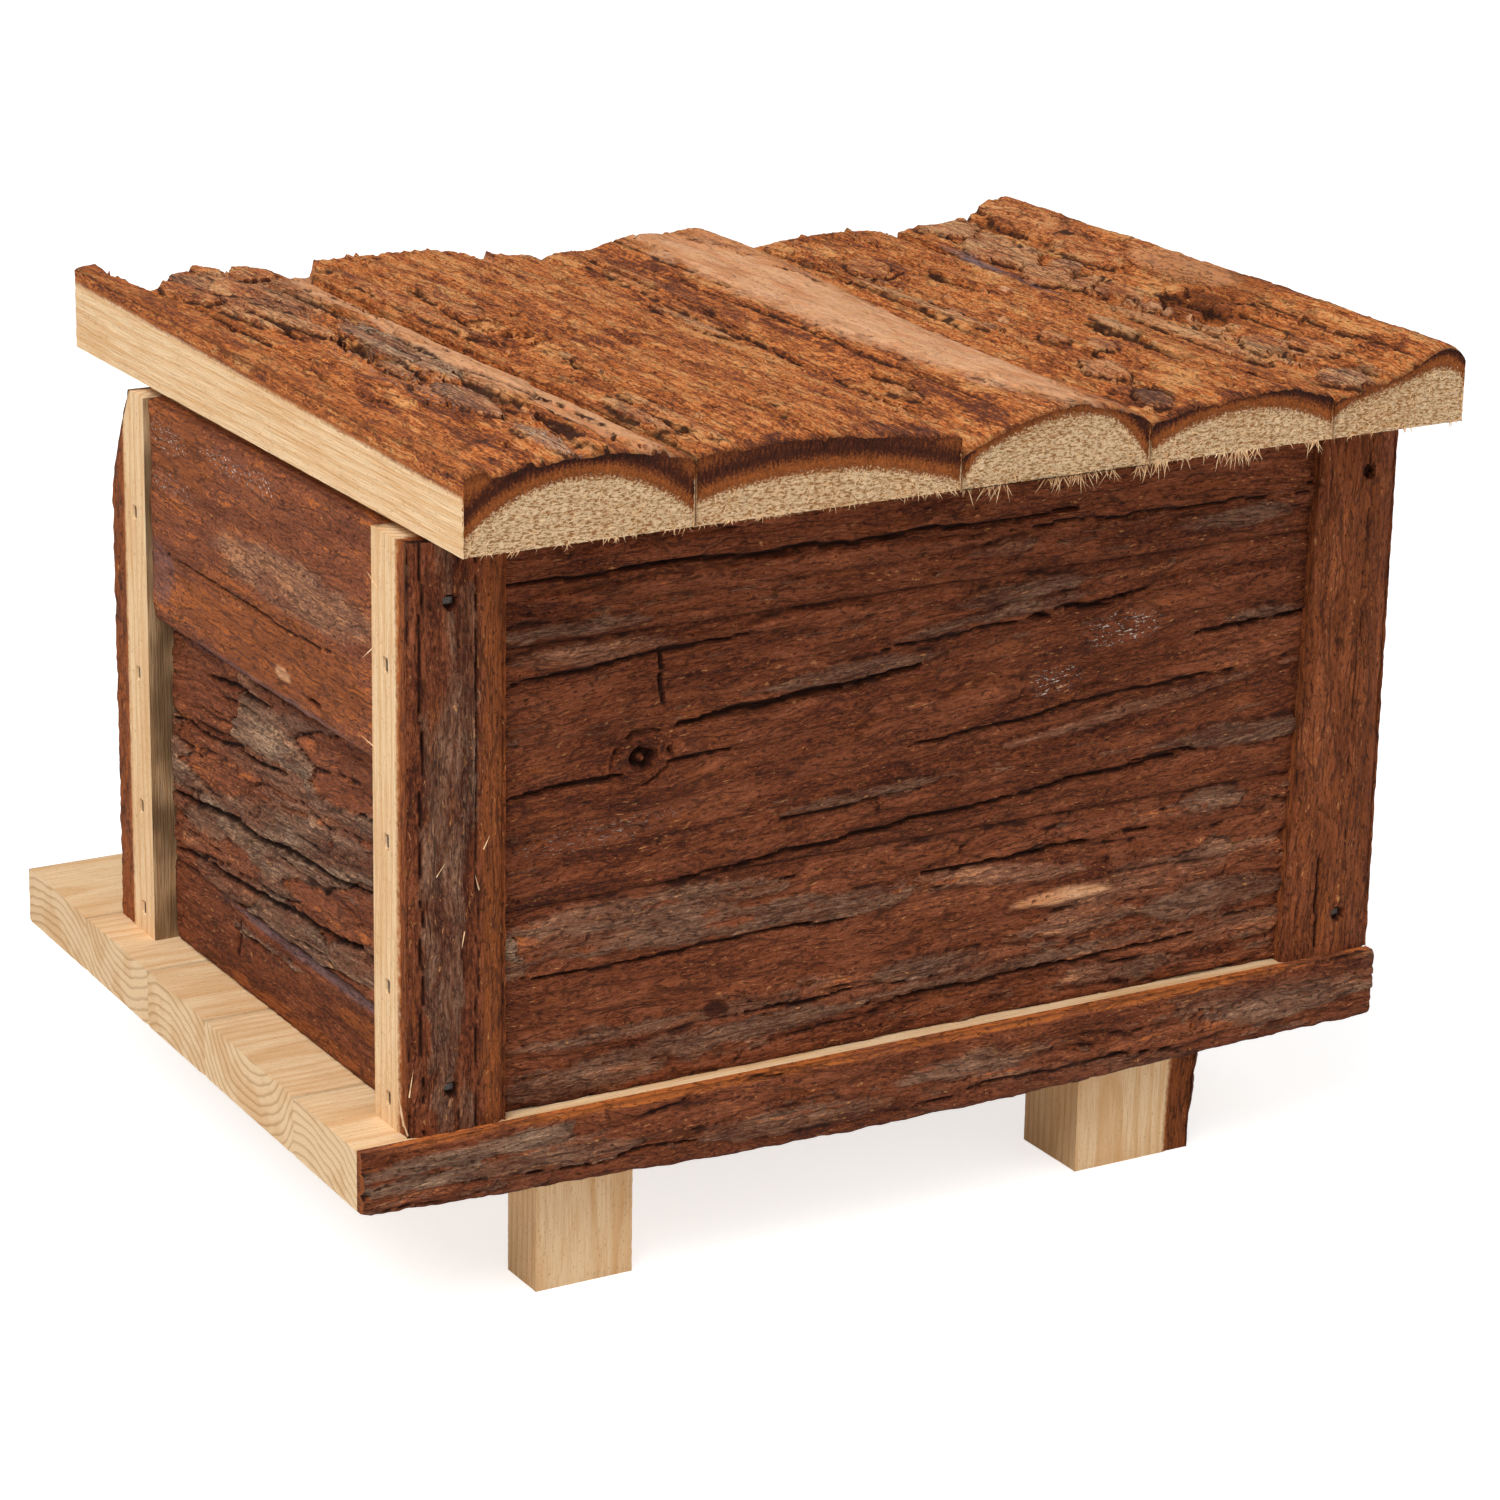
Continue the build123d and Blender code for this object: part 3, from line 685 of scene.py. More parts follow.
def wood_look(tree, place, torn, end, noise):
    """Colour and fine relief of sawn softwood: growth rings are the fraction of the distance from the
    pith over one ring's width, with fibres along the grain and saw-torn hairs across end grain."""
    scaled = add(tree, "VectorMath", (place, (1 / 60, 1 / 14, 1 / 14)), operation="MULTIPLY")
    wobble = add(tree, "TexNoise", {"Vector": scaled, "Scale": 1.0, "Detail": 2.0}, 1)
    moved = add(tree, "VectorMath", (wobble, (0, 4, 4), place), operation="MULTIPLY_ADD")
    across = add(tree, "VectorMath", (moved, (0, 1, 1)), operation="MULTIPLY")
    radius = add(tree, "VectorMath", (across,), 1, operation="LENGTH")
    year = add(tree, "Math", (add(tree, "Math", (radius, size("ring")), operation="DIVIDE"),), operation="FRACT")
    early, late = tint("early"), tint("late")
    rings = add(tree, "ValToRGB", (year,), stops=((0.0, early), (0.45, early), (0.86, late), (1.0, early)))
    scaled = add(tree, "VectorMath", (place, (1.0, 1 / 1.2, 1 / 0.42)), operation="MULTIPLY")
    hair = add(tree, "TexNoise", {"Vector": scaled, "Scale": 1.0, "Detail": 3.0, "Roughness": 0.75,
                                  "Distortion": 0.5})
    hair = add(tree, "Math", (add(tree, "Math", (hair, 0.52), operation="SUBTRACT"), torn, 0.5),
               operation="MULTIPLY_ADD")
    long_face = layered(tree, rings, (
        (0.45, early),
        (add(tree, "MapRange", (noise["fibre"], 0.4, 0.7, 0.0, 0.5), **EASE), late),
        (add(tree, "MapRange", (noise["cloud"], 0.45, 0.7, 0.0, 0.4), **EASE), late),
        (add(tree, "MapRange", (noise["grit"], 0.6, 0.72, 0.0, 0.4), **EASE), tint("end"))))
    arc = add(tree, "MapRange", (year, 0.6, 0.86, 0.0, 0.3), **EASE)
    end_face = layered(tree, rings, (
        (add(tree, "MapRange", (noise["cloud"], 0.35, 0.6, 0.9, 0.5), **EASE), early),
        (add(tree, "MapRange", (noise["cloud"], 0.45, 0.62, 0.0, 0.4), **EASE), late),
        (arc, tint("end")),
        (add(tree, "MapRange", (hair, 0.49, 0.4, 0.0, 0.9), **EASE), tint("end")),
        (add(tree, "MapRange", (hair, 0.5, 0.58, 0.0, 1.0), **EASE), early)))
    more = add(tree, "MapRange", (end, 0, 1, 0.0, 2.2))
    relief = add(tree, "Math", (hair, more, noise["fibre"]), operation="MULTIPLY_ADD")
    return layered(tree, long_face, ((end, end_face),)), relief


def surface(tree, colour_socket, relief, depth, rough_by, rough, metallic=0.0):
    """Joins colour, relief and roughness in one surface. Depth is in millimetres, and dry wood and bark
    hardly shine, so that their gloss is weak."""
    normal = add(tree, "Bump", {"Strength": 1.0, "Distance": depth * MM, "Height": relief})
    roughness = add(tree, "MapRange", (rough_by, 0.3, 0.7, *rough), **EASE)
    shader = add(tree, "BsdfPrincipled", {
        "Base Color": colour_socket, "Normal": normal, "Roughness": roughness, "Metallic": metallic,
        "Specular IOR Level": 0.5 if metallic else 0.14})
    add(tree, "OutputMaterial", (shader,))


def bark_over_wood(tree, contrast, lights):
    """Dry conifer bark over sawn pine, on one skin, parted by how far into the bark a point is. The
    contrast is that of the fine grain, and the lights are the names of its two lightest colours.

    Bark has no gloss: red-brown inner layers, grey-brown weathered flakes, near-black cracks and rust
    orange fibres next to the wood. The cracks are partly their own dark colour and partly painted shade,
    as are the hollows. Its thinnest flakes are terraces of a stretched noise: the whole part of the noise
    picks a flake's tint and height, and its fraction gives a line of painted shade at the foot."""
    own = {name: add(tree, "Attribute", out="Fac", attribute_name=name)
           for name in (*SHADES, "into_bark", "end_grain", "torn")}
    place, wood_place = (add(tree, "Attribute", out="Vector", attribute_name=name)
                         for name in ("bark_place", "wood_place"))
    noise, wood_noise = grain(tree, place, BARK_GRAIN), grain(tree, wood_place, WOOD_GRAIN)

    lost = add(tree, "Math", (noise["flake"], 13.0), operation="MULTIPLY")
    whole = add(tree, "Math", (lost,), operation="FLOOR")
    part = add(tree, "Math", (lost,), operation="FRACT")
    chance = add(tree, "TexWhiteNoise", {"W": whole}, noise_dimensions="1D")
    some = add(tree, "MapRange", (noise["some"], 0.38, 0.56), **EASE)
    # Painted shade: a dark line along the foot of each thin flake's step.
    foot = add(tree, "MapRange", (part, 0.02, 0.2, 0.85, 0.0), **EASE)
    foot = add(tree, "Math", (foot, some), operation="MULTIPLY")
    away = add(tree, "Math", (add(tree, "Math", (noise["split"], 0.5), operation="SUBTRACT"),),
               operation="ABSOLUTE")
    split = add(tree, "MapRange", (away, 0.002, 0.018, 0.85, 0.0), **EASE)
    patchy = add(tree, "MapRange", (noise["blotch"], 0.42, 0.55), **EASE)
    split = add(tree, "Math", (split, patchy), operation="MULTIPLY")
    wobble = add(tree, "TexNoise", {"Vector": place, "Scale": 0.12, "Detail": 3.0}, 1)
    bent = add(tree, "VectorMath", (wobble, (14.0, 3.0, 0.0), place), operation="MULTIPLY_ADD")
    scaled = add(tree, "VectorMath", (bent, (1 / 18, 1 / 3.0, 1 / 9)), operation="MULTIPLY")
    scale = add(tree, "TexVoronoi", {"Vector": scaled, "Scale": 1.0}).node.outputs["Color"]
    scale = add(tree, "SeparateColor", (scale,))
    rim = add(tree, "TexVoronoi", {"Vector": scaled, "Scale": 1.0}, feature="DISTANCE_TO_EDGE")
    rim = add(tree, "MapRange", (rim, 0.015, 0.08, 0.8, 0.0), **EASE)
    rim = add(tree, "Math", (rim, add(tree, "MapRange", (noise["mottle"], 0.44, 0.6), **EASE)),
              operation="MULTIPLY")

    tone = own["tone"]
    for value, low, high, change in (
            (noise["strand"], 0.32, 0.68, 0.12 * contrast), (noise["blotch"], 0.3, 0.7, 0.1 * contrast),
            (noise["mottle"], 0.3, 0.7, 0.05 * contrast), (chance, 0.0, 1.0, 0.06 * contrast),
            (scale, 0.0, 1.0, 0.07 * contrast), (noise["speck"], 0.3, 0.7, -0.18)):
        share = add(tree, "MapRange", (value, low, high, -change, change), **EASE)
        tone = add(tree, "Math", (tone, share), operation="ADD")
    body = add(tree, "ValToRGB", (tone,), stops=(
        (0.0, tint("bark_deep")), (0.25, tint("bark_dark")), (0.5, tint("bark_middle")),
        (0.75, tint(lights[0])), (1.0, tint(lights[1]))))
    streaked = add(tree, "MapRange", (noise["strand"], 0.3, 0.7, -0.07 * contrast, 0.07 * contrast), **EASE)
    streaked = add(tree, "Math", (streaked, tone), operation="ADD")
    ash = add(tree, "ValToRGB", (streaked,), stops=(
        (0.1, tint("bark_dark")), (0.32, tint("ash_dark")), (0.75, tint("ash_light")),
        (1.0, tint("ash_pale"))))
    golden = add(tree, "ValToRGB", (noise["strand"],), stops=((0.3, tint("bark_dark")), (0.55, tint("rust"))))
    peeled = add(tree, "ValToRGB", (noise["strand"],), stops=(
        (0.2, tint("bark_light")), (0.38, tint("bare")), (0.8, tint("bark_pale"))))
    rubbed = add(tree, "MapRange", (noise["blotch"], 0.45, 0.65, 0.0, 0.4), **EASE)
    peeled = layered(tree, peeled, ((rubbed, tint("bark_light")),))
    shares = {}
    for name, first, second in (
            ("grey", own["grey"], add(tree, "MapRange", (noise["blotch"], 0.25, 0.6, 0.5, 0.95), **EASE)),
            ("fresh", own["fresh"], 0.7),
            ("chip", add(tree, "MapRange", (noise["chip"], 0.64, 0.72, 0.0, 0.6), **EASE), some),
            ("spark", add(tree, "MapRange", (noise["speck"], 0.6, 0.7, 0.0, 0.7), **EASE), patchy),
            ("resin", own["resin"], add(tree, "MapRange", (noise["speck"], 0.58, 0.64), **EASE)),
            ("glue", own["glue"], add(tree, "MapRange", (noise["blotch"], 0.3, 0.6, 0.4, 0.9), **EASE))):
        shares[name] = add(tree, "Math", (first, second), operation="MULTIPLY")
    body = layered(tree, body, (
        (shares["grey"], ash), (shares["fresh"], golden), (shares["spark"], tint("rust")),
        (shares["chip"], tint("bark_pale")), (own["pale"], peeled), (shares["resin"], tint("resin")),
        (shares["glue"], tint("glue"))))
    pits = add(tree, "MapRange", (noise["pit"], 0.6, 0.68, 0.0, 0.9), **EASE)
    # The flake feet in these dark lines are painted shade. The splits, scale rims and pits are dark cracks and pits,
    # partly their own colour and partly painted shade.
    crack_lines_and_shade = add(tree, "Math", (add(tree, "Math", (foot, split), operation="MAXIMUM"), rim), operation="MAXIMUM")
    crack_lines_and_shade = add(tree, "Math", (crack_lines_and_shade, pits), operation="MAXIMUM")
    kept = add(tree, "MapRange", (own["pale"], 0, 1, 0.7, 0.1))
    crack_lines_and_shade = add(tree, "Math", (crack_lines_and_shade, kept), operation="MULTIPLY")
    # Painted shade: the bark darkens towards the crack colour with the shade of its hollows and cracks.
    dark = add(tree, "MapRange", (own["hollow"], 0.05, 0.9, 0.0, 0.92), **EASE)
    dark = add(tree, "Math", (dark, crack_lines_and_shade), operation="MAXIMUM")
    body = layered(tree, body, ((dark, tint("crack")),))

    wood, wood_relief = wood_look(tree, wood_place, own["torn"], own["end_grain"], wood_noise)
    # Painted shade: the sawn wood darkens towards the deepest bark colour in its hollows, along plank edges and in brad
    # slots. The glue mix is a real stain.
    wood = layered(tree, wood, (
        (own["glue"], tint("stain")),
        (add(tree, "MapRange", (own["hollow"], 0.1, 1.0, 0.0, 0.85), **EASE), tint("bark_deep"))))
    scaled = add(tree, "VectorMath", (wood_place, (1.0, 1 / 0.5, 1 / 1.8)), operation="MULTIPLY")
    bristle = add(tree, "TexNoise", {"Vector": scaled, "Scale": 1.0, "Detail": 3.0, "Roughness": 0.65})
    ragged = add(tree, "MapRange", (wood_noise["grit"], 0.2, 0.8, -0.8, 0.8), **EASE)
    frayed = add(tree, "MapRange", (own["end_grain"], 0, 1, 0.35, 1.2))
    edge = add(tree, "Math", (ragged, frayed, own["into_bark"]), operation="MULTIPLY_ADD")
    # The end faces' bark is golden next to the wood and darkest about 4 mm out from it. This is partly the outer bark's
    # own colour and partly painted shade under the crown's edge, and the hollows' painted shade darkens it further.
    end_bark_tone_and_shade = add(tree, "MapRange", (edge, 0.2, 4.4, 0.85, 0.33), **EASE)
    for value, low, high, first, second in ((bristle, 0.3, 0.7, -0.13, 0.13), (edge, 4.5, 8.0, 0.0, 0.35),
                                            (own["hollow"], 0.0, 1.0, 0.0, -0.3)):
        share = add(tree, "MapRange", (value, low, high, first, second))
        end_bark_tone_and_shade = add(tree, "Math", (end_bark_tone_and_shade, share), operation="ADD")
    end_bark = add(tree, "ValToRGB", (end_bark_tone_and_shade,), stops=(
        (0.0, tint("crack")), (0.22, tint("bark_deep")), (0.42, tint("bark_dark")), (0.72, tint("rust")),
        (1.0, tint("bark_light"))))
    body = layered(tree, body, ((own["end_grain"], end_bark),))
    near_wood = add(tree, "MapRange", (edge, -0.9, 0.5), **EASE)
    is_bark = add(tree, "MapRange", (edge, 0.3, 1.3), **EASE)
    skin = layered(tree, wood, ((near_wood, golden), (is_bark, body)))

    fine = add(tree, "Math", (noise["strand"], 0.8), operation="MULTIPLY")
    bristles = add(tree, "MapRange", (own["end_grain"], 0, 1, 0.0, 1.5))
    for value, share in ((noise["speck"], 0.8), (noise["mottle"], 1.0), (whole, -0.3), (split, -0.6), (scale, 0.6), (rim, -0.6),
                         (pits, -0.8), (bristle, bristles)):
        fine = add(tree, "Math", (value, share, fine), operation="MULTIPLY_ADD")
    height = add(tree, "Mix", {0: is_bark, 2: wood_relief, 3: fine}, data_type="FLOAT")
    surface(tree, skin, height, 0.5, noise["strand"], (0.7, 0.92))


def bark_wall(tree):
    """Bark of the walls and posts: red-brown with little contrast, darker and flatter than the roof's, partly the
    walls' own bark and partly painted shade for the roof's shade over them.
    """
    bark_over_wood(tree, 1.0, ("bark_red", "bark_light"))


def bark_roof(tree):
    """Bark of the roof: orange-brown, rubbed pale and grainy, lighter and bolder than the walls', partly its own drier
    bark and partly painted full light.
    """
    bark_over_wood(tree, 1.5, ("bark_light", "bark_pale"))


def sawn_pine(tree):
    """Fresh sawn pine, planed on no side: cream wood with tan rings and a soft, dull, fibrous surface."""
    own = {name: add(tree, "Attribute", out="Fac", attribute_name=name)
           for name in ("hollow", "torn", "end_grain")}
    place = add(tree, "Attribute", out="Vector", attribute_name="wood_place")
    noise = grain(tree, place, WOOD_GRAIN)
    wood, relief = wood_look(tree, place, own["torn"], own["end_grain"], noise)
    # Painted shade: the wood darkens towards dark bark where its hollows are shaded.
    share = add(tree, "MapRange", (own["hollow"], 0.1, 1.0, 0.0, 0.9), **EASE)
    surface(tree, layered(tree, wood, ((share, tint("bark_dark")),)), relief, 0.25, noise["grit"], (0.6, 0.8))


def brad_steel(tree):
    """Drawn steel wire, dulled: a grey metal with fine scratches along its length."""
    place = add(tree, "TexCoord", out="Object")
    scratch = grain(tree, place, {"scratch": (0.4 * MM, 0.4 * MM, 3.0, 0.55)})["scratch"]
    share = add(tree, "MapRange", (scratch, 0.35, 0.65, 0.0, 0.5), **EASE)
    metal = layered(tree, tint("steel"), ((share, tint("bark_deep")),))
    surface(tree, metal, scratch, 0.02, scratch, (0.35, 0.6), metallic=1.0)


FINISHES = {
    "dry_bark_wall": bark_wall,
    "dry_bark_roof": bark_roof,
    "sawn_pine": sawn_pine,
    "dull_brad_steel": brad_steel,
}


def finish(name):
    """The material of that name, made on first use."""
    material = bpy.data.materials.get(name)
    if material is None:
        material = bpy.data.materials.new(name)
        material.use_nodes = True
        material.node_tree.nodes.clear()
        FINISHES[name](material.node_tree)
    return material


# What each board looks like. Marks are (kind, strength, place along, place across, half length, half width)

BACK_WALL = {
    "back_wall_lower": dict(bare=0.6, grey=0.35, slope=0.02, tone=0.5, marks=(
        ("bare", 1, 50, 21, 52, 6), ("ash", 0.6, 33, 37.6, 34, 3.2, 0.0), ("light", 0.12, 14, 37, 14, 3),
        ("furrow", 1.2, 42, 38, 26, 0.5), ("ash", 0.4, 53, 31.5, 45, 2.7, 0.0), ("ash", 0.6, 79, 30.6, 17, 3.0, 0.0),
        ("tan", 0.7, 116, 31, 22, 2.2, -0.1), ("furrow", 1.8, 124, 34.8, 28, 0.9), ("furrow", 1.4, 42, 27.6, 40, 0.7),
        ("rise", 0.5, 131, 24, 13, 2.0), ("pale", 0.9, 131, 24, 12, 1.5), ("ash", 0.5, 98, 14, 14, 2.6, 0.0),
        ("tan", 0.5, 136, 17.5, 14, 3.0, 0.02), ("ash", 0.7, 169, 17.5, 20, 4.0, 0.03),
        ("ash", 0.4, 34, 12.8, 33, 1.3, 0.0), ("ash", 0.5, 50, 8, 35, 2.4, 0.02), ("ash", 0.4, 18, 4, 20, 3, 0.0),
        ("ash", 0.5, 119, 10.7, 40, 1.4, 0.03), ("furrow", 1.8, 124, 8.6, 42, 0.9), ("furrow", 1.4, 68, 11.6, 13, 0.7),
        ("tan", 0.7, 139, 5, 9, 2.0, 0.0), ("ash", 0.7, 151, 4.4, 7, 2.4, 0.1), ("red", 0.8, 157, 31.5, 11, 3.0, 0.0),
        ("ash", 0.6, 168, 39.4, 9, 2.6, 0.0), ("red", 0.7, 180, 32, 12, 3, 0.0), ("red", 0.6, 139, 38, 9, 3.2, 0.0),
        ("red", 0.6, 116, 38, 11, 3.2, 0.0), ("red", 0.6, 96, 38.5, 9, 2.8, 0.0), ("dark", 1, 48, 13.5, 3, 1.6),
        ("light", 0.08, 136, 18, 14, 3))),
    "back_wall_middle": dict(bare=0.85, grey=0.15, slope=0.07, tone=0.45, knots=((30.5, 27, 4.4),), marks=(
        ("tan", 0.7, 18.5, 50.2, 20, 2.2, 0.0), ("furrow", 1.6, 28, 47.4, 26, 1.0), ("red", 0.5, 72, 50.3, 19, 1.8, 0.0),
        ("ash", 0.6, 118, 49.3, 17, 2.2, 0.05), ("ash", 0.5, 112, 45.2, 26, 1.4, 0.08),
        ("furrow", 2.4, 138, 44.6, 20, 1.4), ("furrow", 1.2, 102, 42.2, 20, 0.6), ("ash", 0.8, 79, 38.2, 21, 2.0, 0.05),
        ("furrow", 2.4, 66, 34.6, 29, 1.7), ("break", 1.2, 35, 43, 0.7, 7), ("furrow", 1.8, 13, 23.6, 13, 1.0),
        ("furrow", 1.6, 44, 25.5, 8, 0.9), ("furrow", 1.8, 176, 35, 15, 1.3), ("ash", 0.6, 178, 36.9, 10, 1.3, 0.02),
        ("resin", 0.9, 143, 38, 10, 3.6), ("resin", 0.9, 127, 29, 7, 3), ("furrow", 1.4, 138, 23.6, 50, 0.9),
        ("tan", 0.5, 146, 20.4, 32, 1.5, 0.12), ("ash", 0.6, 83, 11.8, 22, 1.2, 0.05), ("furrow", 1.2, 78, 10, 20, 0.6),
        ("ash", 0.6, 174, 11, 20, 2.6, -0.02), ("furrow", 1.6, 155, 9.4, 10, 0.9), ("furrow", 1.6, 100, 4.6, 64, 1.0),
        ("red", 0.5, 100, 27, 22, 3.2, 0.1), ("red", 0.5, 165, 44, 22, 4.0, 0.0), ("red", 0.4, 46, 5, 24, 2.2, 0.02),
        ("red", 0.5, 172, 28, 18, 2.6, 0.05), ("resin", 0.3, 22, 13, 18, 3), ("light", 0.1, 36, 14, 30, 3))),
    "back_wall_upper": dict(bare=0.75, grey=0.25, slope=-0.01, tone=0.48, marks=(
        ("furrow", 1.8, 64, 12.2, 68, 1.0), ("red", 0.5, 57, 8.6, 55, 2.0, 0.0), ("tan", 0.6, 115, 6.2, 7, 1.5, 0.05),
        ("ash", 0.5, 14, 2.6, 20, 1.6, 0.0), ("furrow", 1.2, 152, 9, 40, 0.7), ("ash", 0.4, 170, 5.5, 16, 2.2, 0.0))),
}
FRONT_WALL = {
    "front_wall_lower_left": dict(bare=0.5, grey=0.45, slope=-0.04),
    "front_wall_lower_right": dict(bare=0.4, grey=0.5, slope=0.05),
    "front_wall_middle": dict(bare=0.5, grey=0.45, slope=0.05, knots=((150, 34, 5),)),
    "front_wall_upper": dict(bare=0.55, grey=0.35, slope=-0.02),
}
RIGHT_WALL = {
    "right_wall_lower": dict(bare=0.7, grey=0.6, tone=0.5, crack=0.8, marks=(
        ("break", 1.2, 74, 11, 0.7, 5), ("furrow", 1.4, 64, 13.5, 7, 1.2), ("fresh", 0.9, 44, 2, 46, 2.2),
        ("fresh", 0.9, 12, 12, 14, 2.4), ("glue", 0.55, 40, 17.6, 44, 1.1), ("bare", 1, 40, 8, 60, 6))),
    "right_wall_middle": dict(bare=0.25, grey=0.25, plate=(34, 7.5), slope=-0.07, tier=0.6, crack=0.8,
                              furrow=0.9, furrow_share=0.45, tone=0.58, marks=(
        ("furrow", 2.2, 62, 19, 50, 1.6), ("furrow", 2.2, 52, 7, 54, 1.6), ("grey", 0.5, 44, 36, 40, 4),
        ("furrow", 1.6, 80, 34, 30, 1.2), ("furrow", 1.8, 72, 48, 16, 1.4), ("glue", 0.5, 62, 53.6, 40, 0.8),
        ("grey", 0.4, 30, 24, 30, 4), ("red", 0.8, 84, 26, 16, 3.4, -0.1), ("red", 0.8, 34, 14, 18, 3.0, -0.08),
        ("ash", 0.8, 92, 13, 12, 2.6, -0.08), ("red", 0.8, 24, 40, 14, 3.4, -0.1))),
    "right_wall_upper": dict(bare=0.95, grey=0.0, plate=(40, 8), tone=0.72, furrow_share=0.1, flake=0.1,
                             fibre=0.06, swell=0.5, marks=(
        ("resin", 1, 98, 41, 10, 3.5), ("resin", 1, 62, 42.5, 20, 2.4), ("resin", 0.6, 96, 31, 12, 3),
        ("light", 0.07, 38, 25, 40, 6), ("grey", 0.5, 38, 25, 40, 6), ("fresh", 0.8, 50, 10, 50, 9),
        ("pale", 0.8, 42, 6, 4, 1.4), ("dark", 0.8, 28, 4.5, 3.4, 1.2), ("furrow", 1.4, 28, 4.2, 3.2, 1.0),
        ("glue", 0.35, 104, 11, 9, 7), ("glue", 0.5, 45, 0.8, 42, 0.8), ("fresh", 0.7, 90, 40, 18, 9),
        ("furrow", 0.8, 60, 16, 40, 0.6))),
}
LEFT_WALL = {
    "left_wall_lower": dict(bare=0.5, grey=0.5, tone=0.5),
    "left_wall_middle": dict(bare=0.35, grey=0.5, plate=(32, 6), slope=0.06, crack=1.3, furrow_share=0.5,
                             tone=0.48, knots=((60, 30, 4.5),)),
    "left_wall_upper": dict(bare=0.75, grey=0.3, tone=0.55),
}
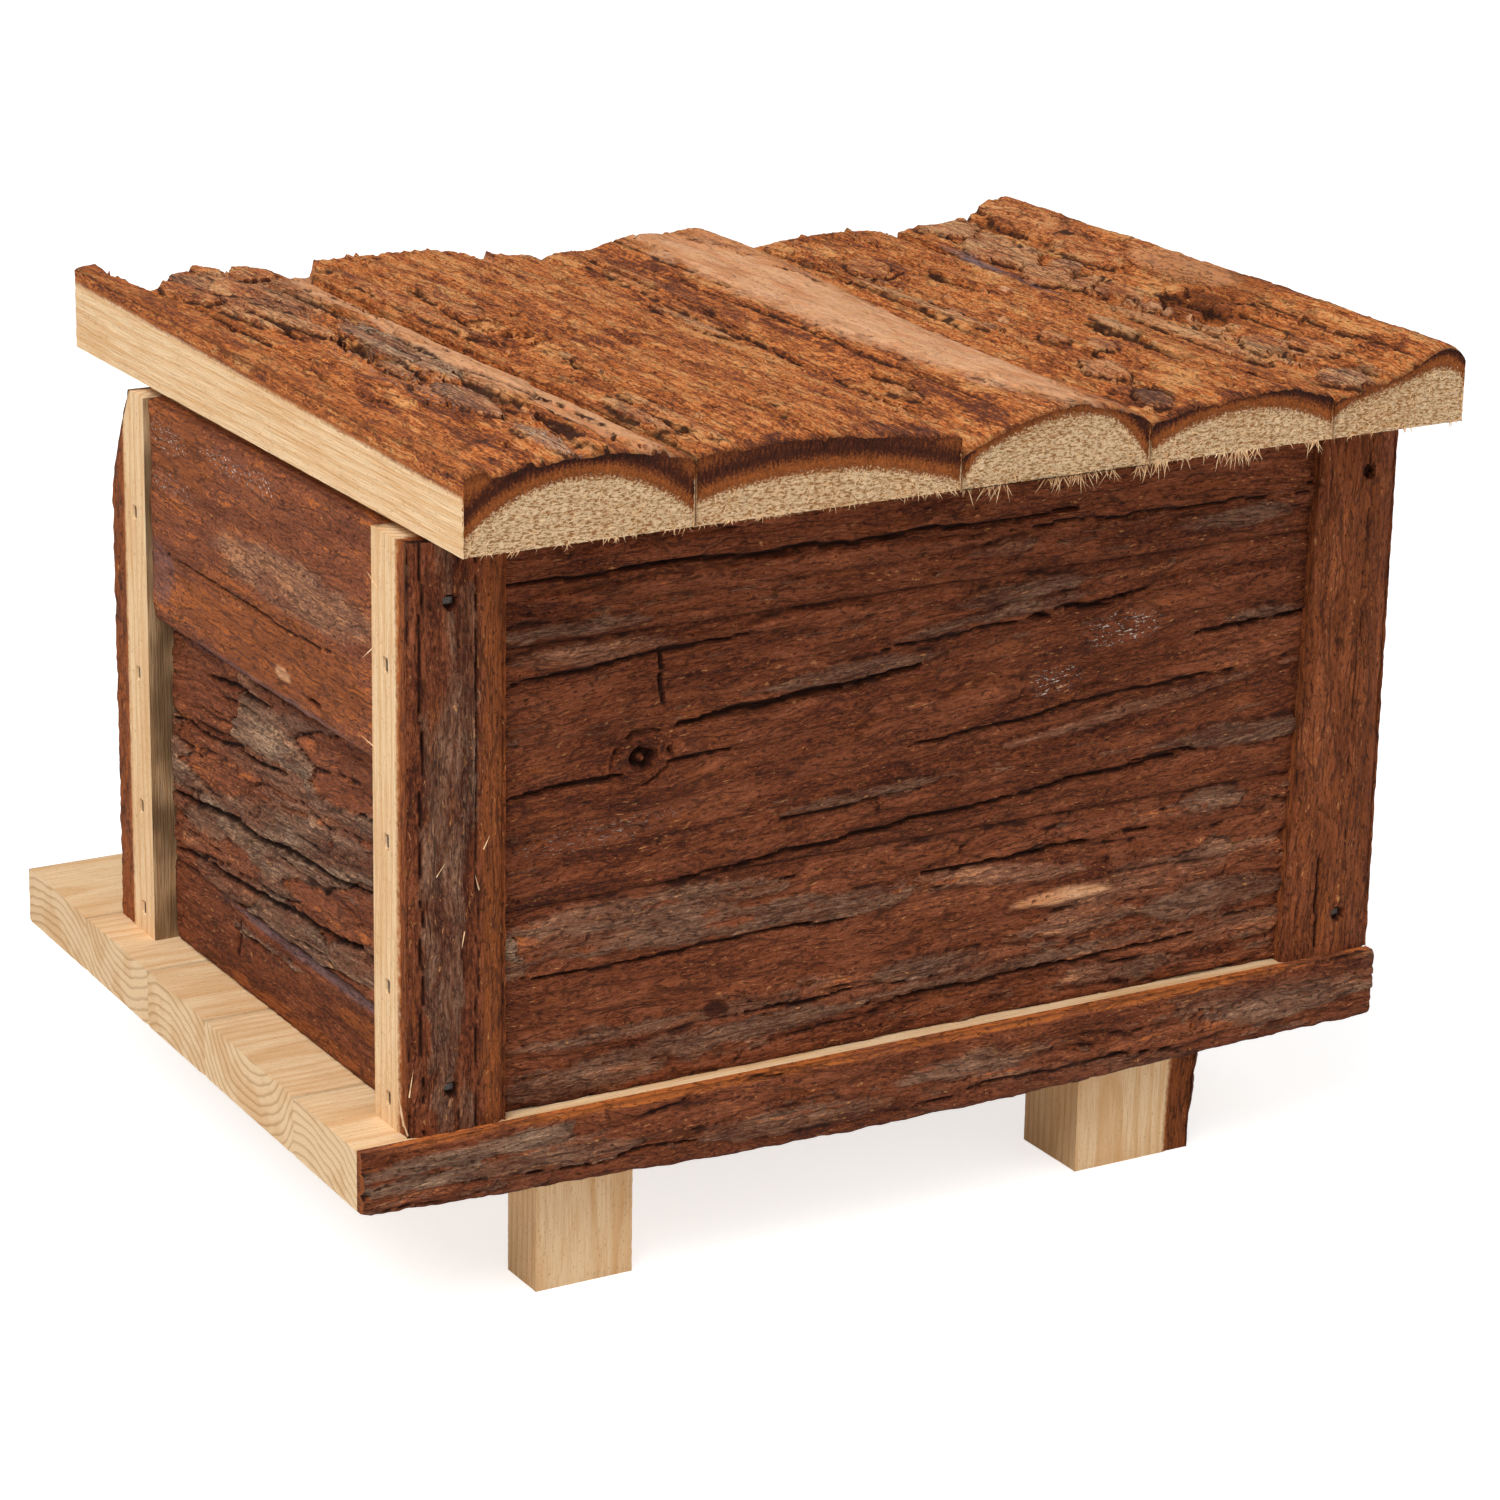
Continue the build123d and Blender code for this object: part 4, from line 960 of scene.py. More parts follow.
ROOF = {
    "roof_slab_1": dict(bare=0.7, grey=0.3, plate=(40, 9), tier=0.8, crack=1.0, furrow_share=0.1, tone=0.74,
                        marks=(
        ("pale", 0.85, 68, 40.5, 78, 8.5), ("pale", 0.8, 134, 40, 24, 8), ("light", 0.1, 80, 40, 90, 7), ("brown", 1, 60, 42, 70, 9),
        ("brown", 1, 48, 12, 56, 6.5), ("dark", 0.12, 45, 12, 52, 6), ("brown", 1, 92, 2.5, 120, 5),
        ("plates", 0.8, 84, 28, 26, 5), ("grey", 0.7, 84, 29, 26, 4), ("grey", 0.5, 140, 24, 24, 12),
        ("bare", 1.2, 92, 2.5, 120, 4), ("fresh", 0.5, 92, 2.5, 120, 3.6), ("rise", 1.6, 92, 1.5, 130, 5.5),
        ("rough", 0.4, 20, 28, 22, 6), ("resin", 1, 10, 23.5, 13, 3), ("resin", 0.5, 70, 19, 30, 5),
        ("furrow", 1.0, 132, 6.1, 56, 0.6), ("furrow", 3.2, 128, 30.5, 22, 2.6), ("furrow", 1.6, 120, 9.5, 24, 0.8),
        ("leaf", 1.1, 157, 29.5, 6, 4.6, 0.1), ("leaf", 1.0, 150, 12.2, 12, 3.0, -0.1),
        ("tan", 1.4, 149, 19.6, 17, 4.3, -0.27), ("ash", 0.5, 159, 15.5, 8, 3.0, -0.1),
        ("peel", 1.0, 137, 42, 6.5, 7.5, -0.1), ("furrow", 1.6, 131, 40, 5, 1.4),
        ("furrow", 2.0, 136, 23, 8, 1.4), ("furrow", 2.4, 113, 15.6, 14, 0.9), ("furrow", 1.4, 144, 11, 8, 0.8),
        ("tan", 1.5, 116, 19.2, 19, 2.1, -0.13), ("tan", 1.1, 122, 14, 13, 1.0, -0.14),
        ("furrow", 2.8, 89.5, 21.5, 8, 3.2), ("tan", 0.9, 72, 22, 9, 1.4, 0.0), ("furrow", 2.0, 70, 19.4, 8, 0.8),
        ("ash", 0.9, 86, 30, 14, 2.4, -0.05), ("tan", 0.8, 52, 19, 9, 1.8, 0.05), ("ash", 0.9, 44, 23, 15, 3.2, 0.0),
        ("furrow", 2.6, 47, 29.6, 16, 2.5), ("furrow", 2.4, 18, 29.2, 10, 3.4), ("peel", 0.6, 26, 35.6, 16, 3.2, 0.02),
        ("ash", 0.6, 12, 22.5, 12, 2.4, 0.0))),
    "roof_slab_2": dict(bare=1.0, grey=0.0, plate=(26, 7), furrow_share=0.25, furrow=0.9, furrow_size=(60, 7),
                        tone=0.75, flake=0.34, fibre=0.24, knots=((96, 11.5, 5.0),), marks=(
        ("leaf", 0.8, 135, 13, 8, 2.0, 0.0), ("leaf", 0.9, 121, 12.5, 8, 2.8, 0.05), ("furrow", 1.6, 141, 11.3, 5, 1.0),
        ("furrow", 1.8, 122, 14, 4, 1.0), ("furrow", 1.6, 117, 9, 7, 1.0), ("furrow", 1.6, 114, 21.5, 3, 1.2),
        ("dark", 0.3, 96, 12, 9, 8), ("dark", 0.35, 88, 28, 6, 8), ("rough", 0.6, 104, 18, 16, 14),
        ("pale", 0.9, 103, 37, 2.5, 0.6), ("pale", 0.9, 100, 28, 2, 0.8), ("pale", 0.8, 126, 38, 3, 0.6),
        ("tan", 0.8, 103, 56.5, 17, 1.6, 0.0), ("light", 0.12, 152, 54, 6, 5), ("leaf", 0.6, 132, 5, 40, 2.2, 0.0),
        ("furrow", 2.2, 66, 11, 12, 1.1), ("tan", 0.8, 76, 12.6, 3, 0.9, 0.0), ("furrow", 1.2, 31, 11.5, 10, 0.8),
        ("furrow", 2.0, 22, 27.6, 24, 1.3), ("rough", 0.5, 28, 29, 10, 4), ("furrow", 1.4, 29, 19.6, 2, 0.8),
        ("furrow", 1.4, 57, 32.7, 2, 0.8), ("furrow", 1.4, 75, 52, 9, 1.0), ("tan", 1.0, 30, 3.2, 16, 1.5, 0.02),
        ("furrow", 2.6, 18, 5.4, 8, 1.0), ("furrow", 2.6, 16, 1.0, 8, 1.0), ("leaf", 0.6, 24, 8.4, 22, 2.0, 0.0),
        ("dark", 0.5, 2, 45, 8, 16), ("dark", 0.35, 1, 18, 4, 14))),
    "roof_slab_3": dict(bare=1.4, grey=0.0, tone=0.72, furrow_share=0.2, flake=0.12, fibre=0.1, swell=0.4,
                        plate=(50, 5), marks=(
        ("peel", 0.3, 92, 28, 96, 11.0, 0.0), ("pale", 1, 92, 28, 100, 11), ("pale", 0.35, 92, 39, 100, 7), ("furrow", 0.7, 150, 18.5, 34, 0.7),
        ("leaf", 0.8, 140, 8, 30, 1.2, 0.0), ("leaf", 0.8, 128, 4.4, 38, 1.0, 0.0), ("furrow", 1.4, 132, 6.3, 36, 0.8),
        ("furrow", 1.2, 80, 4.8, 60, 0.7), ("furrow", 1.8, 42, 10.2, 9, 1.5), ("leaf", 0.8, 36, 8, 8, 1.2, 0.0),
        ("furrow", 1.0, 80, 14.5, 70, 0.6), ("light", 0.14, 92, 27, 90, 4), ("resin", 0.3, 120, 21, 40, 2.4), ("dark", 0.16, 92, 10, 100, 7),
        ("resin", 0.2, 60, 24, 30, 3))),
    "roof_slab_4": dict(bare=0.95, grey=0.1, plate=(20, 6), furrow_share=0.3, furrow_size=(50, 7), tone=0.76,
                        flake=0.34, fibre=0.24, marks=(
        ("bare", 1, 90, 4, 100, 5.5), ("furrow", 1.6, 150, 8.6, 18, 0.9), ("tan", 1.0, 102, 9.4, 32, 1.1, -0.01),
        ("furrow", 1.6, 100, 11.2, 30, 0.8), ("furrow", 1.2, 104, 7.6, 34, 0.6), ("furrow", 2.6, 121, 25, 20, 2.4),
        ("break", 1.2, 124, 16, 0.8, 4), ("light", 0.12, 158, 15, 9, 5), ("rough", 0.8, 130, 28, 36, 8),
        ("pale", 0.9, 101, 31, 2.4, 0.8), ("pale", 0.9, 79, 16, 2, 0.9), ("leaf", 0.8, 134, 16, 9, 4, 0.1),
        ("tan", 0.9, 60, 16.3, 5.5, 1.5, 0.0), ("furrow", 1.8, 59, 14.4, 6, 0.7), ("tan", 0.7, 48, 20, 5, 2.6, 0.1),
        ("furrow", 1.6, 46, 16.4, 4, 0.8), ("tan", 0.9, 33, 11.2, 7.5, 3.2, 0.0), ("ash", 1.1, 10, 7, 7, 2.6, 0.05),
        ("furrow", 2.4, 16, 10.4, 7, 1.8), ("dark", 0.5, 15, 6, 8, 6), ("light", 0.14, 16, 22, 7, 10),
        ("tan", 1.2, 61, 32, 11, 2.0, 0.1), ("furrow", 2.4, 50, 28.6, 20, 1.8), ("furrow", 2.0, 12, 34, 9, 1.2),
        ("rough", 0.8, 20, 20, 24, 14), ("dark", 0.3, 1, 20, 3, 20))),
    "roof_slab_5": dict(bare=0.8, grey=0.2, plate=(30, 8), furrow_share=0.15, tone=0.79, flake=0.26,
                        knots=((69, 14.5, 5.4),), marks=(
        ("brown", 1, 66, 15, 18, 8), ("dark", 0.9, 69, 14, 12, 6), ("pale", 0.4, 90, 25, 22, 4.5), ("fresh", 0.8, 64, 15, 17, 8),
        ("rough", 1.0, 66, 14, 18, 8), ("light", 0.2, 86, 24, 11, 4), ("fresh", 1, 82, 25, 22, 5),
        ("furrow", 2.8, 68, 13.5, 11, 3.0), ("pale", 0.8, 76, 9, 5, 0.9), ("pale", 0.8, 62, 9.6, 4, 0.8),
        ("tan", 0.9, 162, 9.8, 11, 6.2, 0.0), ("furrow", 1.6, 156, 5, 7, 0.9), ("tan", 1.2, 137, 8.4, 14, 5.8, -0.04),
        ("furrow", 2.0, 111, 12, 5, 1.4), ("ash", 1.0, 118, 13, 6.5, 2.4, 0.0), ("tan", 1.0, 115, 6.4, 9, 3.9, 0.0),
        ("tan", 0.9, 103.5, 8.6, 3.6, 4.2, 0.0), ("leaf", 0.9, 92, 10.6, 9, 2.6, 0.0), ("glue", 0.8, 126, 0.8, 26, 1.8),
        ("furrow", 2.0, 156, 18, 17, 1.4), ("leaf", 0.7, 146, 22.5, 26, 3.2, 0.02), ("tan", 0.9, 58, 3.6, 32, 1.7, 0.0),
        ("tan", 1.0, 38, 9.6, 8, 3.2, 0.0), ("furrow", 2.2, 28, 8, 3, 1.8), ("ash", 1.2, 8, 7.6, 7, 3.6, 0.0),
        ("furrow", 2.2, 9, 13, 6, 1.2), ("furrow", 0.8, 36, 17, 22, 0.7), ("furrow", 0.8, 30, 22, 28, 0.6),
        ("leaf", 1.1, 80, 10.6, 6, 1.5, 0.3), ("leaf", 1.1, 60, 17.5, 6, 1.7, -0.25), ("red", 1.0, 81, 17, 5, 1.6, 0.15),
        ("leaf", 0.9, 120, 20, 16, 3.0, 0.0), ("tan", 0.8, 146, 13, 9, 2.4, 0.05), ("leaf", 0.9, 28, 15, 10, 2.6, 0.0))),
}
POSTS = {
    "post_back_right": dict(bare=0.6, grey=0.5, plate=(48, 5), tone=0.5, fibre=0.12, tier=0.3, crack=0.4,
                            furrow=0.3, flake=0.12, marks=(
        ("bare", 1.4, 60, 18.2, 130, 3.6), ("fresh", 0.8, 60, 18.4, 130, 3.0), ("ash", 0.4, 58, 7.4, 66, 4.4, 0.0),
        ("furrow", 0.8, 60, 14.3, 70, 0.5), ("dark", 0.4, 60, 12.2, 74, 1.4), ("brown", 0.9, 100, 4, 18, 5),
        ("furrow", 0.8, 70, 3.0, 70, 0.5))),
    "post_back_left": dict(bare=1.0, grey=0.1, plate=(60, 7), tone=0.46, fibre=0.14, furrow_share=0.2, marks=(
        ("furrow", 1.0, 12, 7.5, 14, 0.6), ("light", 0.16, 92, 6, 16, 2.0), ("light", 0.16, 60, 6, 12, 2.2),
        ("light", 0.12, 40, 2, 30, 2.0), ("furrow", 0.5, 80, 13, 60, 0.4), ("fresh", 0.4, 60, 10, 80, 12),
        ("red", 0.4, 40, 3.2, 34, 2.2, -0.02))),
    "post_front_right": dict(bare=0.5, grey=0.4, plate=(48, 6), tone=0.46),
    "post_front_left": dict(bare=0.45, grey=0.4, plate=(48, 6), tone=0.46),
}


# Pieces

def clad(nodes, along, across, out, material, bark_depth, extra_end=0.0):
    """Wall boards, each a slab of wood with its bark outside."""
    for name, look in nodes.items():
        board = Board(name, along, across, out, size("bark_grid"), extra_end)
        board.bark_depth = bark_depth
        if name == "front_wall_middle":
            arch_grid(board)
        board.cover(**look)
        make_piece(name.replace("wall", "wall_bark"), [board.shell()], finish(material), [name])


def arch_grid(board):
    """Starts each column of the board's grid at the doorway's arch: the height of a circle over the
    board's lower edge, with the columns at even turns of that circle."""
    low = corners_of("front_wall_lower_left")[1][0]
    high = corners_of("front_wall_lower_right")[0][0]
    radius = (high - low) / 2
    centre = (high + low) / 2 - board.start[0]
    points = node_points(board.node)
    inner = points[np.abs(points[:, 0] - board.start[0] - centre) < radius * 0.3]
    top = inner[:, 2][inner[:, 2] < board.start[2] + board.width - 1].max() - board.start[2]
    turns = np.linspace(0, math.pi, 96)
    jambs = centre - radius * np.cos(turns)
    step = size("bark_grid")
    s = np.concatenate([np.linspace(0, jambs[0], int(jambs[0] / step))[:-1], jambs,
                        np.linspace(jambs[-1], board.reach, int((board.reach - jambs[-1]) / step))[1:]])
    rise = np.sqrt(np.clip(1 - ((s - centre) / radius) ** 2, 0, 1)) * radius + top - radius
    foot = np.where(np.abs(s - centre) <= radius, np.maximum(rise, 0), 0)
    q = np.linspace(0, 1, int(board.width / step) + 1)
    board.s = np.repeat(s[:, None], len(q), 1)
    board.t = foot[:, None] + q[None, :] * (board.width - foot[:, None])
    board.clear()


def crown_lines(node):
    """Heights of a slab's crown at its two ends, from the frame's own solid: the top points of its near
    end, and for the far end, parts of which are broken off, the same line scaled to meet both corners."""
    points = node_points(node)
    low, high = points.min(0), points.max(0)
    ends = []
    for edge in (high[1], low[1]):
        ring = points[(np.abs(points[:, 1] - edge) < 0.05) & (points[:, 2] > low[2] + 1)]
        ring = ring[np.argsort(ring[:, 0])]
        ends.append((ring[:, 0], ring[:, 2] - low[2]))
    (x, near), (far_x, far) = ends
    grown = near * far[-1] / near[-1]
    fall = (grown[0] - far[0]) * smooth(0.3, 0.0, (x - x[0]) / (x[-1] - x[0]))
    return x, near, grown - fall


WOOD_CROWNS = {  # middle of the growth rings across each slab, their depth below it, and the wood's radius
    "roof_slab_1": (0.5, -23.0, 35.5),
    "roof_slab_2": (0.42, -95.0, 102.6),
    "roof_slab_3": (0.5, -11.0, 25.0),
    "roof_slab_4": (0.52, -38.0, 46.5),
    "roof_slab_5": (0.78, -30.0, 42.5),
}
SIDE_BARK = {"roof_slab_1": (4.4, 2.8)}  # bark along a slab's side at its near and far end
BARE_LEVEL = 10.6  # height of the bared wood where the bark has broken off

FULLER = {  # bark that swells beside a slab's low or high side: side, height, reach, from and to along it
    "roof_slab_3": (("low", 3.2, 13, 60, 150), ("high", 3.6, 15, 60, 160)),
    "roof_slab_5": (("low", 2.2, 14, 110, 160), ("high", 2.6, 18, -40, 0)),
}
BARK_STOPS = {  # how far before the far end the bark stops: (place across, millimetres)
    "roof_slab_1": ((0, 0), (5.9, 0), (6.6, 24), (12, 21), (17, 15), (22, 15), (25.7, 21), (29, 17),
                    (32, 17), (36.4, 23), (41.3, 29), (48.6, 18)),
    "roof_slab_2": ((0, 13), (5.5, 1), (20, 2), (28, 0.5), (34, 0), (41.5, 1), (42.5, 15), (46.3, 15),
                    (47, 2), (51.5, 3), (59, 8)),
    "roof_slab_3": ((0, 0), (44, 0)),
    "roof_slab_4": ((0, 0.5), (9, 0.5), (10, 2), (24, 1), (35, 0), (45, 3)),
    "roof_slab_5": ((0, 3), (4, 1), (33, 1)),
}


def slab(name, look):
    """Roof slab: its crown blends the solid's two end profiles, and its bark lies over growth rings
    round a pith below it, so that a circle parts wood from bark on its ends."""
    board = Board(name, -Y, -X, Z, size("bark_grid"))
    crown_x, near_z, far_z = crown_lines(name)
    q = board.s / board.length
    near_top, far_top = (np.interp(board.start[0] - board.t, crown_x, top) for top in (near_z, far_z))
    board.height = (1 - q) * near_top + q * far_top
    board.bark_depth = size("roof_bark")
    across, down, radius = WOOD_CROWNS[name]
    board.pith = (across, down)
    board.cover(worn=0.5, sink=0.1, steady=0.95, shade=1.25, **look)
    for side, rise, reach, start, full in FULLER.get(name, ()):
        inward = board.t if side == "low" else board.width - board.t
        board.height = board.height + rise * smooth(reach, 2, inward) * smooth(start, full, board.s)
    stops = np.interp(board.t, *np.transpose(BARK_STOPS[name]))
    ragged = 1.6 * fractal(board.t / 5, board.s / 12, board.seed + 80, 4) * smooth(0, 3, stops)
    past = board.s - (board.length - stops - ragged)
    bared = smooth(-0.5, 0.4, past) * (stops > 0)
    floor = BARE_LEVEL + 0.5 * fractal(board.s / 14, board.t / 2.5, board.seed + 81, 4)
    board.height = board.height + (np.minimum(board.height, floor) - board.height) * bared
    board.shades["pale"] = np.maximum(board.shades["pale"], 0.6 * bared)
    # Painted shade along the joints between neighbouring slabs, strongest towards the near end.
    joint = np.minimum(np.where(name == "roof_slab_1", 99, board.t),
                       np.where(name == "roof_slab_5", 99, board.width - board.t))
    patchy = smooth(-0.6, 0.2, fractal(board.s / 16, board.t * 0, board.seed + 82, 3))
    seam = np.exp(-(joint / 0.6) ** 2) * (0.3 + 0.5 * patchy * smooth(120, 30, board.s))
    board.shades["hollow"] = np.maximum(board.shades["hollow"], seam)
    board.height -= 1.0 * np.exp(-board.s / 1.0)
    # Painted shade at the near end, under its rounded top edge.
    board.shades["hollow"] = np.maximum(board.shades["hollow"], 0.6 * np.exp(-(board.s / 2.0) ** 2))
    board.height = np.minimum(board.height, CAD_BOX[1][2] / MM - board.start[2] - 0.05)
    board.shares = np.linspace(0.96, 0, 22)

    def wood_line(s, t, tags):
        """The rings' circle, but a little under the bark along the slab's sawn sides."""
        arc = down + np.sqrt(np.maximum(radius ** 2 - (t - across * board.width) ** 2, 0))
        top = np.interp(board.start[0] - t, crown_x, near_z)
        near_bark, far_bark = SIDE_BARK.get(name, (4.2, 4.2))
        far = np.interp(board.start[0] - t, crown_x, far_z)
        along = s / board.length
        side = (tags["low"] | tags["high"]) & ~tags["near"] & ~tags["far"]
        edge = top + (far - top) * along - near_bark - (far_bark - near_bark) * along
        return np.where(side, edge, np.minimum(arc, top - 2.5))

    def torn(points, tags, values):
        """Saw-torn ends: the end faces move along the grain by fine noise, and the near one stands in."""
        s, t, d = points.T
        values["torn"] = np.ones(len(points))
        inner = (tags["low"] & (name != "roof_slab_1")) | tags["high"]
        # Painted shade on the inner sides close to the near end, and on the upper part of the near end face.
        values["hollow"] = np.where(inner & (s < 4), 0.6, values["hollow"])
        values["hollow"] = np.where(tags["near"], 0.35 * smooth(0.9, 1.0, tags["share"]), values["hollow"])
        noise = fractal(t / 1.1, d / 1.1, board.seed + 70, 3)
        s = np.where(tags["near"], 1.1 + 0.45 * noise - 0.3 * smooth(0.7, 1, tags["share"]), s)
        s = np.where(tags["far"], board.length - 0.5 + 0.35 * noise, s)
        side = 0.15 * fractal(s / 9, d / 0.9, board.seed + 73, 3)
        t = np.where(tags["low"] & (t < 1), np.maximum(0.1, 0.18 + side), t)
        t = np.where(tags["high"] & (t > board.width - 1), board.width - np.maximum(0.1, 0.18 + side), t)
        return np.stack([s, t, d], -1)

    board.wood_line = wood_line
    board.shift = torn
    return board


class BARKHOUSE_OT_long_walls(bpy.types.Operator):
    """Bark boards of the back wall and of the front wall with its arched doorway"""
    bl_idname = "barkhouse.long_walls"
    bl_label = "Long walls"

    def execute(self, context):
        depth = size("wall_bark")
        clad(BACK_WALL, -X, Z, Y, "dry_bark_wall", depth, extra_end=4.0)
        clad(FRONT_WALL, X, Z, -Y, "dry_bark_wall", depth)
        return {"FINISHED"}


class BARKHOUSE_OT_side_walls(bpy.types.Operator):
    """Bark boards of the two short walls"""
    bl_idname = "barkhouse.side_walls"
    bl_label = "Side walls"

    def execute(self, context):
        depth = size("wall_bark")
        clad(RIGHT_WALL, -Y, Z, X, "dry_bark_wall", depth)
        clad(LEFT_WALL, -Y, Z, -X, "dry_bark_wall", depth)
        return {"FINISHED"}


class BARKHOUSE_OT_roof(bpy.types.Operator):
    """Five bark slabs, side by side, sawn along their edges and ends"""
    bl_idname = "barkhouse.roof"
    bl_label = "Roof slabs"

    def execute(self, context):
        for name, look in ROOF.items():
            board = slab(name, look)
            make_piece(name.replace("roof", "roof_bark"), [board.shell()], finish("dry_bark_roof"),
                       [name])
        return {"FINISHED"}


def section(width, depth, bow, fine, coarse):
    """Closed outline round a post: place across, place outwards, outward direction and side number, from
    0 for the bark face round to 3. The bark face is bowed by a parabola."""
    out = []
    for side, (count_step, span) in enumerate(((fine, width), (fine, depth), (coarse, width), (fine, depth))):
        q = np.linspace(0, 1, max(3, int(round(span / count_step)) + 1))[:-1]
        if side == 0:
            x, y = q * width, depth - bow * (2 * q - 1) ** 2
            nx, ny = 4 * bow * (2 * q - 1) / width, np.ones_like(q)
        elif side == 1:
            x, y = np.full_like(q, width), (depth - bow) * (1 - q)
            nx, ny = np.ones_like(q), np.zeros_like(q)
        elif side == 2:
            x, y = width * (1 - q), np.zeros_like(q)
            nx, ny = np.zeros_like(q), -np.ones_like(q)
        else:
            x, y = np.zeros_like(q), (depth - bow) * q
            nx, ny = -np.ones_like(q), np.zeros_like(q)
        out.append(np.stack([x, y, nx, ny, np.full_like(q, side)]))
    return np.concatenate(out, 1)


class Post:
    """A post or foot that stands on end: an outline carried up Z, pushed out by its faces' relief."""

    def __init__(self, node, across, out, bow, step, bark_sides=(0,), seed=0):
        self.node = node
        self.axes = np.array([Z, across, out])
        low, high = corners_of(node)
        self.start = np.where(Z + across + out > 0, low, high)
        self.length, self.width, self.depth = (abs((high - low) @ axis) for axis in self.axes)
        self.outline = section(self.width, self.depth, bow, step, 1.4)
        z = ticks(self.length, step)
        self.s, self.x = np.meshgrid(z, self.outline[0], indexing="ij")
        self.y, self.nx, self.ny, self.side = (np.repeat(row[None], len(z), 0) for row in self.outline[1:])
        self.push = np.zeros_like(self.s)
        self.shades = {name: np.zeros_like(self.s) for name in SHADES}
        self.bent = self.x.copy()
        self.seed = sum(ord(letter) * place for place, letter in enumerate(node, 1)) % 9000
        self.pith = (0.5, -6.0)
        self.into = np.full_like(self.s, -9.0)
        self.lean = None

    def place(self, point):
        """Where a point of the house lies in the post's own directions."""
        return (np.asarray(point) - self.start) @ self.axes.T

    def cover(self, side, depths, worn=0.5, sink=0.1, **look):
        """Bark on one side, and on the edges of the other sides, as deep on each as it is given."""
        own = self.side[0] == side
        t = self.x if side in (0, 2) else self.y
        fields = bark(self.s[:, own], t[:, own], self.seed, **look)
        fields["height"] = fields["height"] - 0.5 * blurred(fields["height"], 10)
        reach = t[:, own].max()
        edge = np.minimum(t[:, own], reach - t[:, own])
        ragged = 0.5 * fractal(self.s[:, own] / 5, t[:, own] / 5, self.seed + 60, 3)
        edge_wear_and_shade = np.exp(-np.maximum(edge + ragged, 0) / 0.8)
        inward = {0: self.depth - self.y, 1: self.width - self.x, 3: self.x}[side]
        for number in range(4):
            here = self.side == number
            self.into = np.where(here, depths.get(number, 0.0) - inward, self.into)
        self.into[:, own] = depths[side]
        near_bark = (self.into > 0) & ~own[None]
        rough = 0.35 * fractal(self.s / 4, self.y / 1.2, self.seed + 64, 4)
        self.push = np.where(near_bark, rough - 0.4, self.push)
        self.shades["tone"] += look.get("tone", BARK["tone"])
        self.shades["fresh"] = np.where(near_bark, 0.75, 0.0)
        # Painted shade in the sunk spots of the rough bark along the sawn sides.
        self.shades["hollow"] = np.where(near_bark, 0.3 * np.clip(rough * -3, 0, 1), 0.0)
        self.push[:, own] = np.minimum(fields["height"], 0.5) - worn * edge_wear_and_shade - sink
        for name in SHADES:
            self.shades[name][:, own] = fields[name]
        # Painted shade along the worn edges of the bark face.
        self.shades["hollow"][:, own] += 0.3 * edge_wear_and_shade
        self.bent[:, own] = fields["bent"]

    def sawn(self, amount=0.07):
        """Fine saw marks on every face that has no relief yet: noise drawn out across the grain."""
        marks = amount * fractal(self.s / 1.7, (self.x + self.y) / 6, self.seed + 66, 3)
        self.push = np.where(self.into < 0, self.push + marks - amount, self.push)

    def dent(self, heads, sides=(1.4, 0.85)):
        """Sinks a slot round each brad head on one of the post's faces, filled with painted shade."""
        for head, facing in heads:
            s0, x0, y0 = self.place(head)
            if not (0 < s0 < self.length and -1 < x0 < self.width + 1 and -1 < y0 < self.depth + 1):
                continue
            if y0 > self.depth - 3:
                inside = (self.side == 0) & (np.abs(self.x - x0) < sides[1]) & (np.abs(self.s - s0) < sides[0])
                inside |= (self.side == 0) & (np.abs(self.x - x0) < sides[0]) & (np.abs(self.s - s0) < sides[1])
                depth = 1.0
            else:
                face = 1 if x0 > self.width / 2 else 3
                inside = (self.side == face) & (np.abs(self.y - y0) < sides[1]) & (
                    np.abs(self.s - s0) < sides[0])
                depth = 1.3
            self.push = np.where(inside, -depth - 0.9, self.push)
            self.shades["hollow"] = np.where(inside, 1.0, self.shades["hollow"])

    def shell(self):
        """The closed skin: rings of the outline, each point moved out by its push, and two flat ends."""
        n, m = self.s.shape
        reach = np.maximum(np.hypot(self.nx, self.ny), 1e-6)
        x = self.x + self.push * self.nx / reach
        y = self.y + self.push * self.ny / reach
        points = np.stack([self.s, x, y], -1).reshape(-1, 3)
        index = np.arange(n * m).reshape(n, m)
        closed = np.concatenate([index, index[:, :1]], 1)
        values = {name: field.ravel() for name, field in self.shades.items()}
        values["hollow"] = np.clip(values["hollow"], 0, 1)
        values["into_bark"] = self.into.ravel()
        shove = self.seed % 97 * 10
        values["bark_place"] = np.stack([self.s + shove, self.bent, self.y], -1).reshape(-1, 3)
        values["wood_place"] = np.stack([self.s + shove, self.x - self.pith[0] * self.width,
                                         self.y - self.pith[1]], -1).reshape(-1, 3)
        if self.lean is not None:
            points = self.lean(points)
        return dict(points=points, quads=quad_grid(closed), caps=[index[0], index[-1][::-1]],
                    axes=self.axes, start=self.start, values=values, cap_end=1.0)


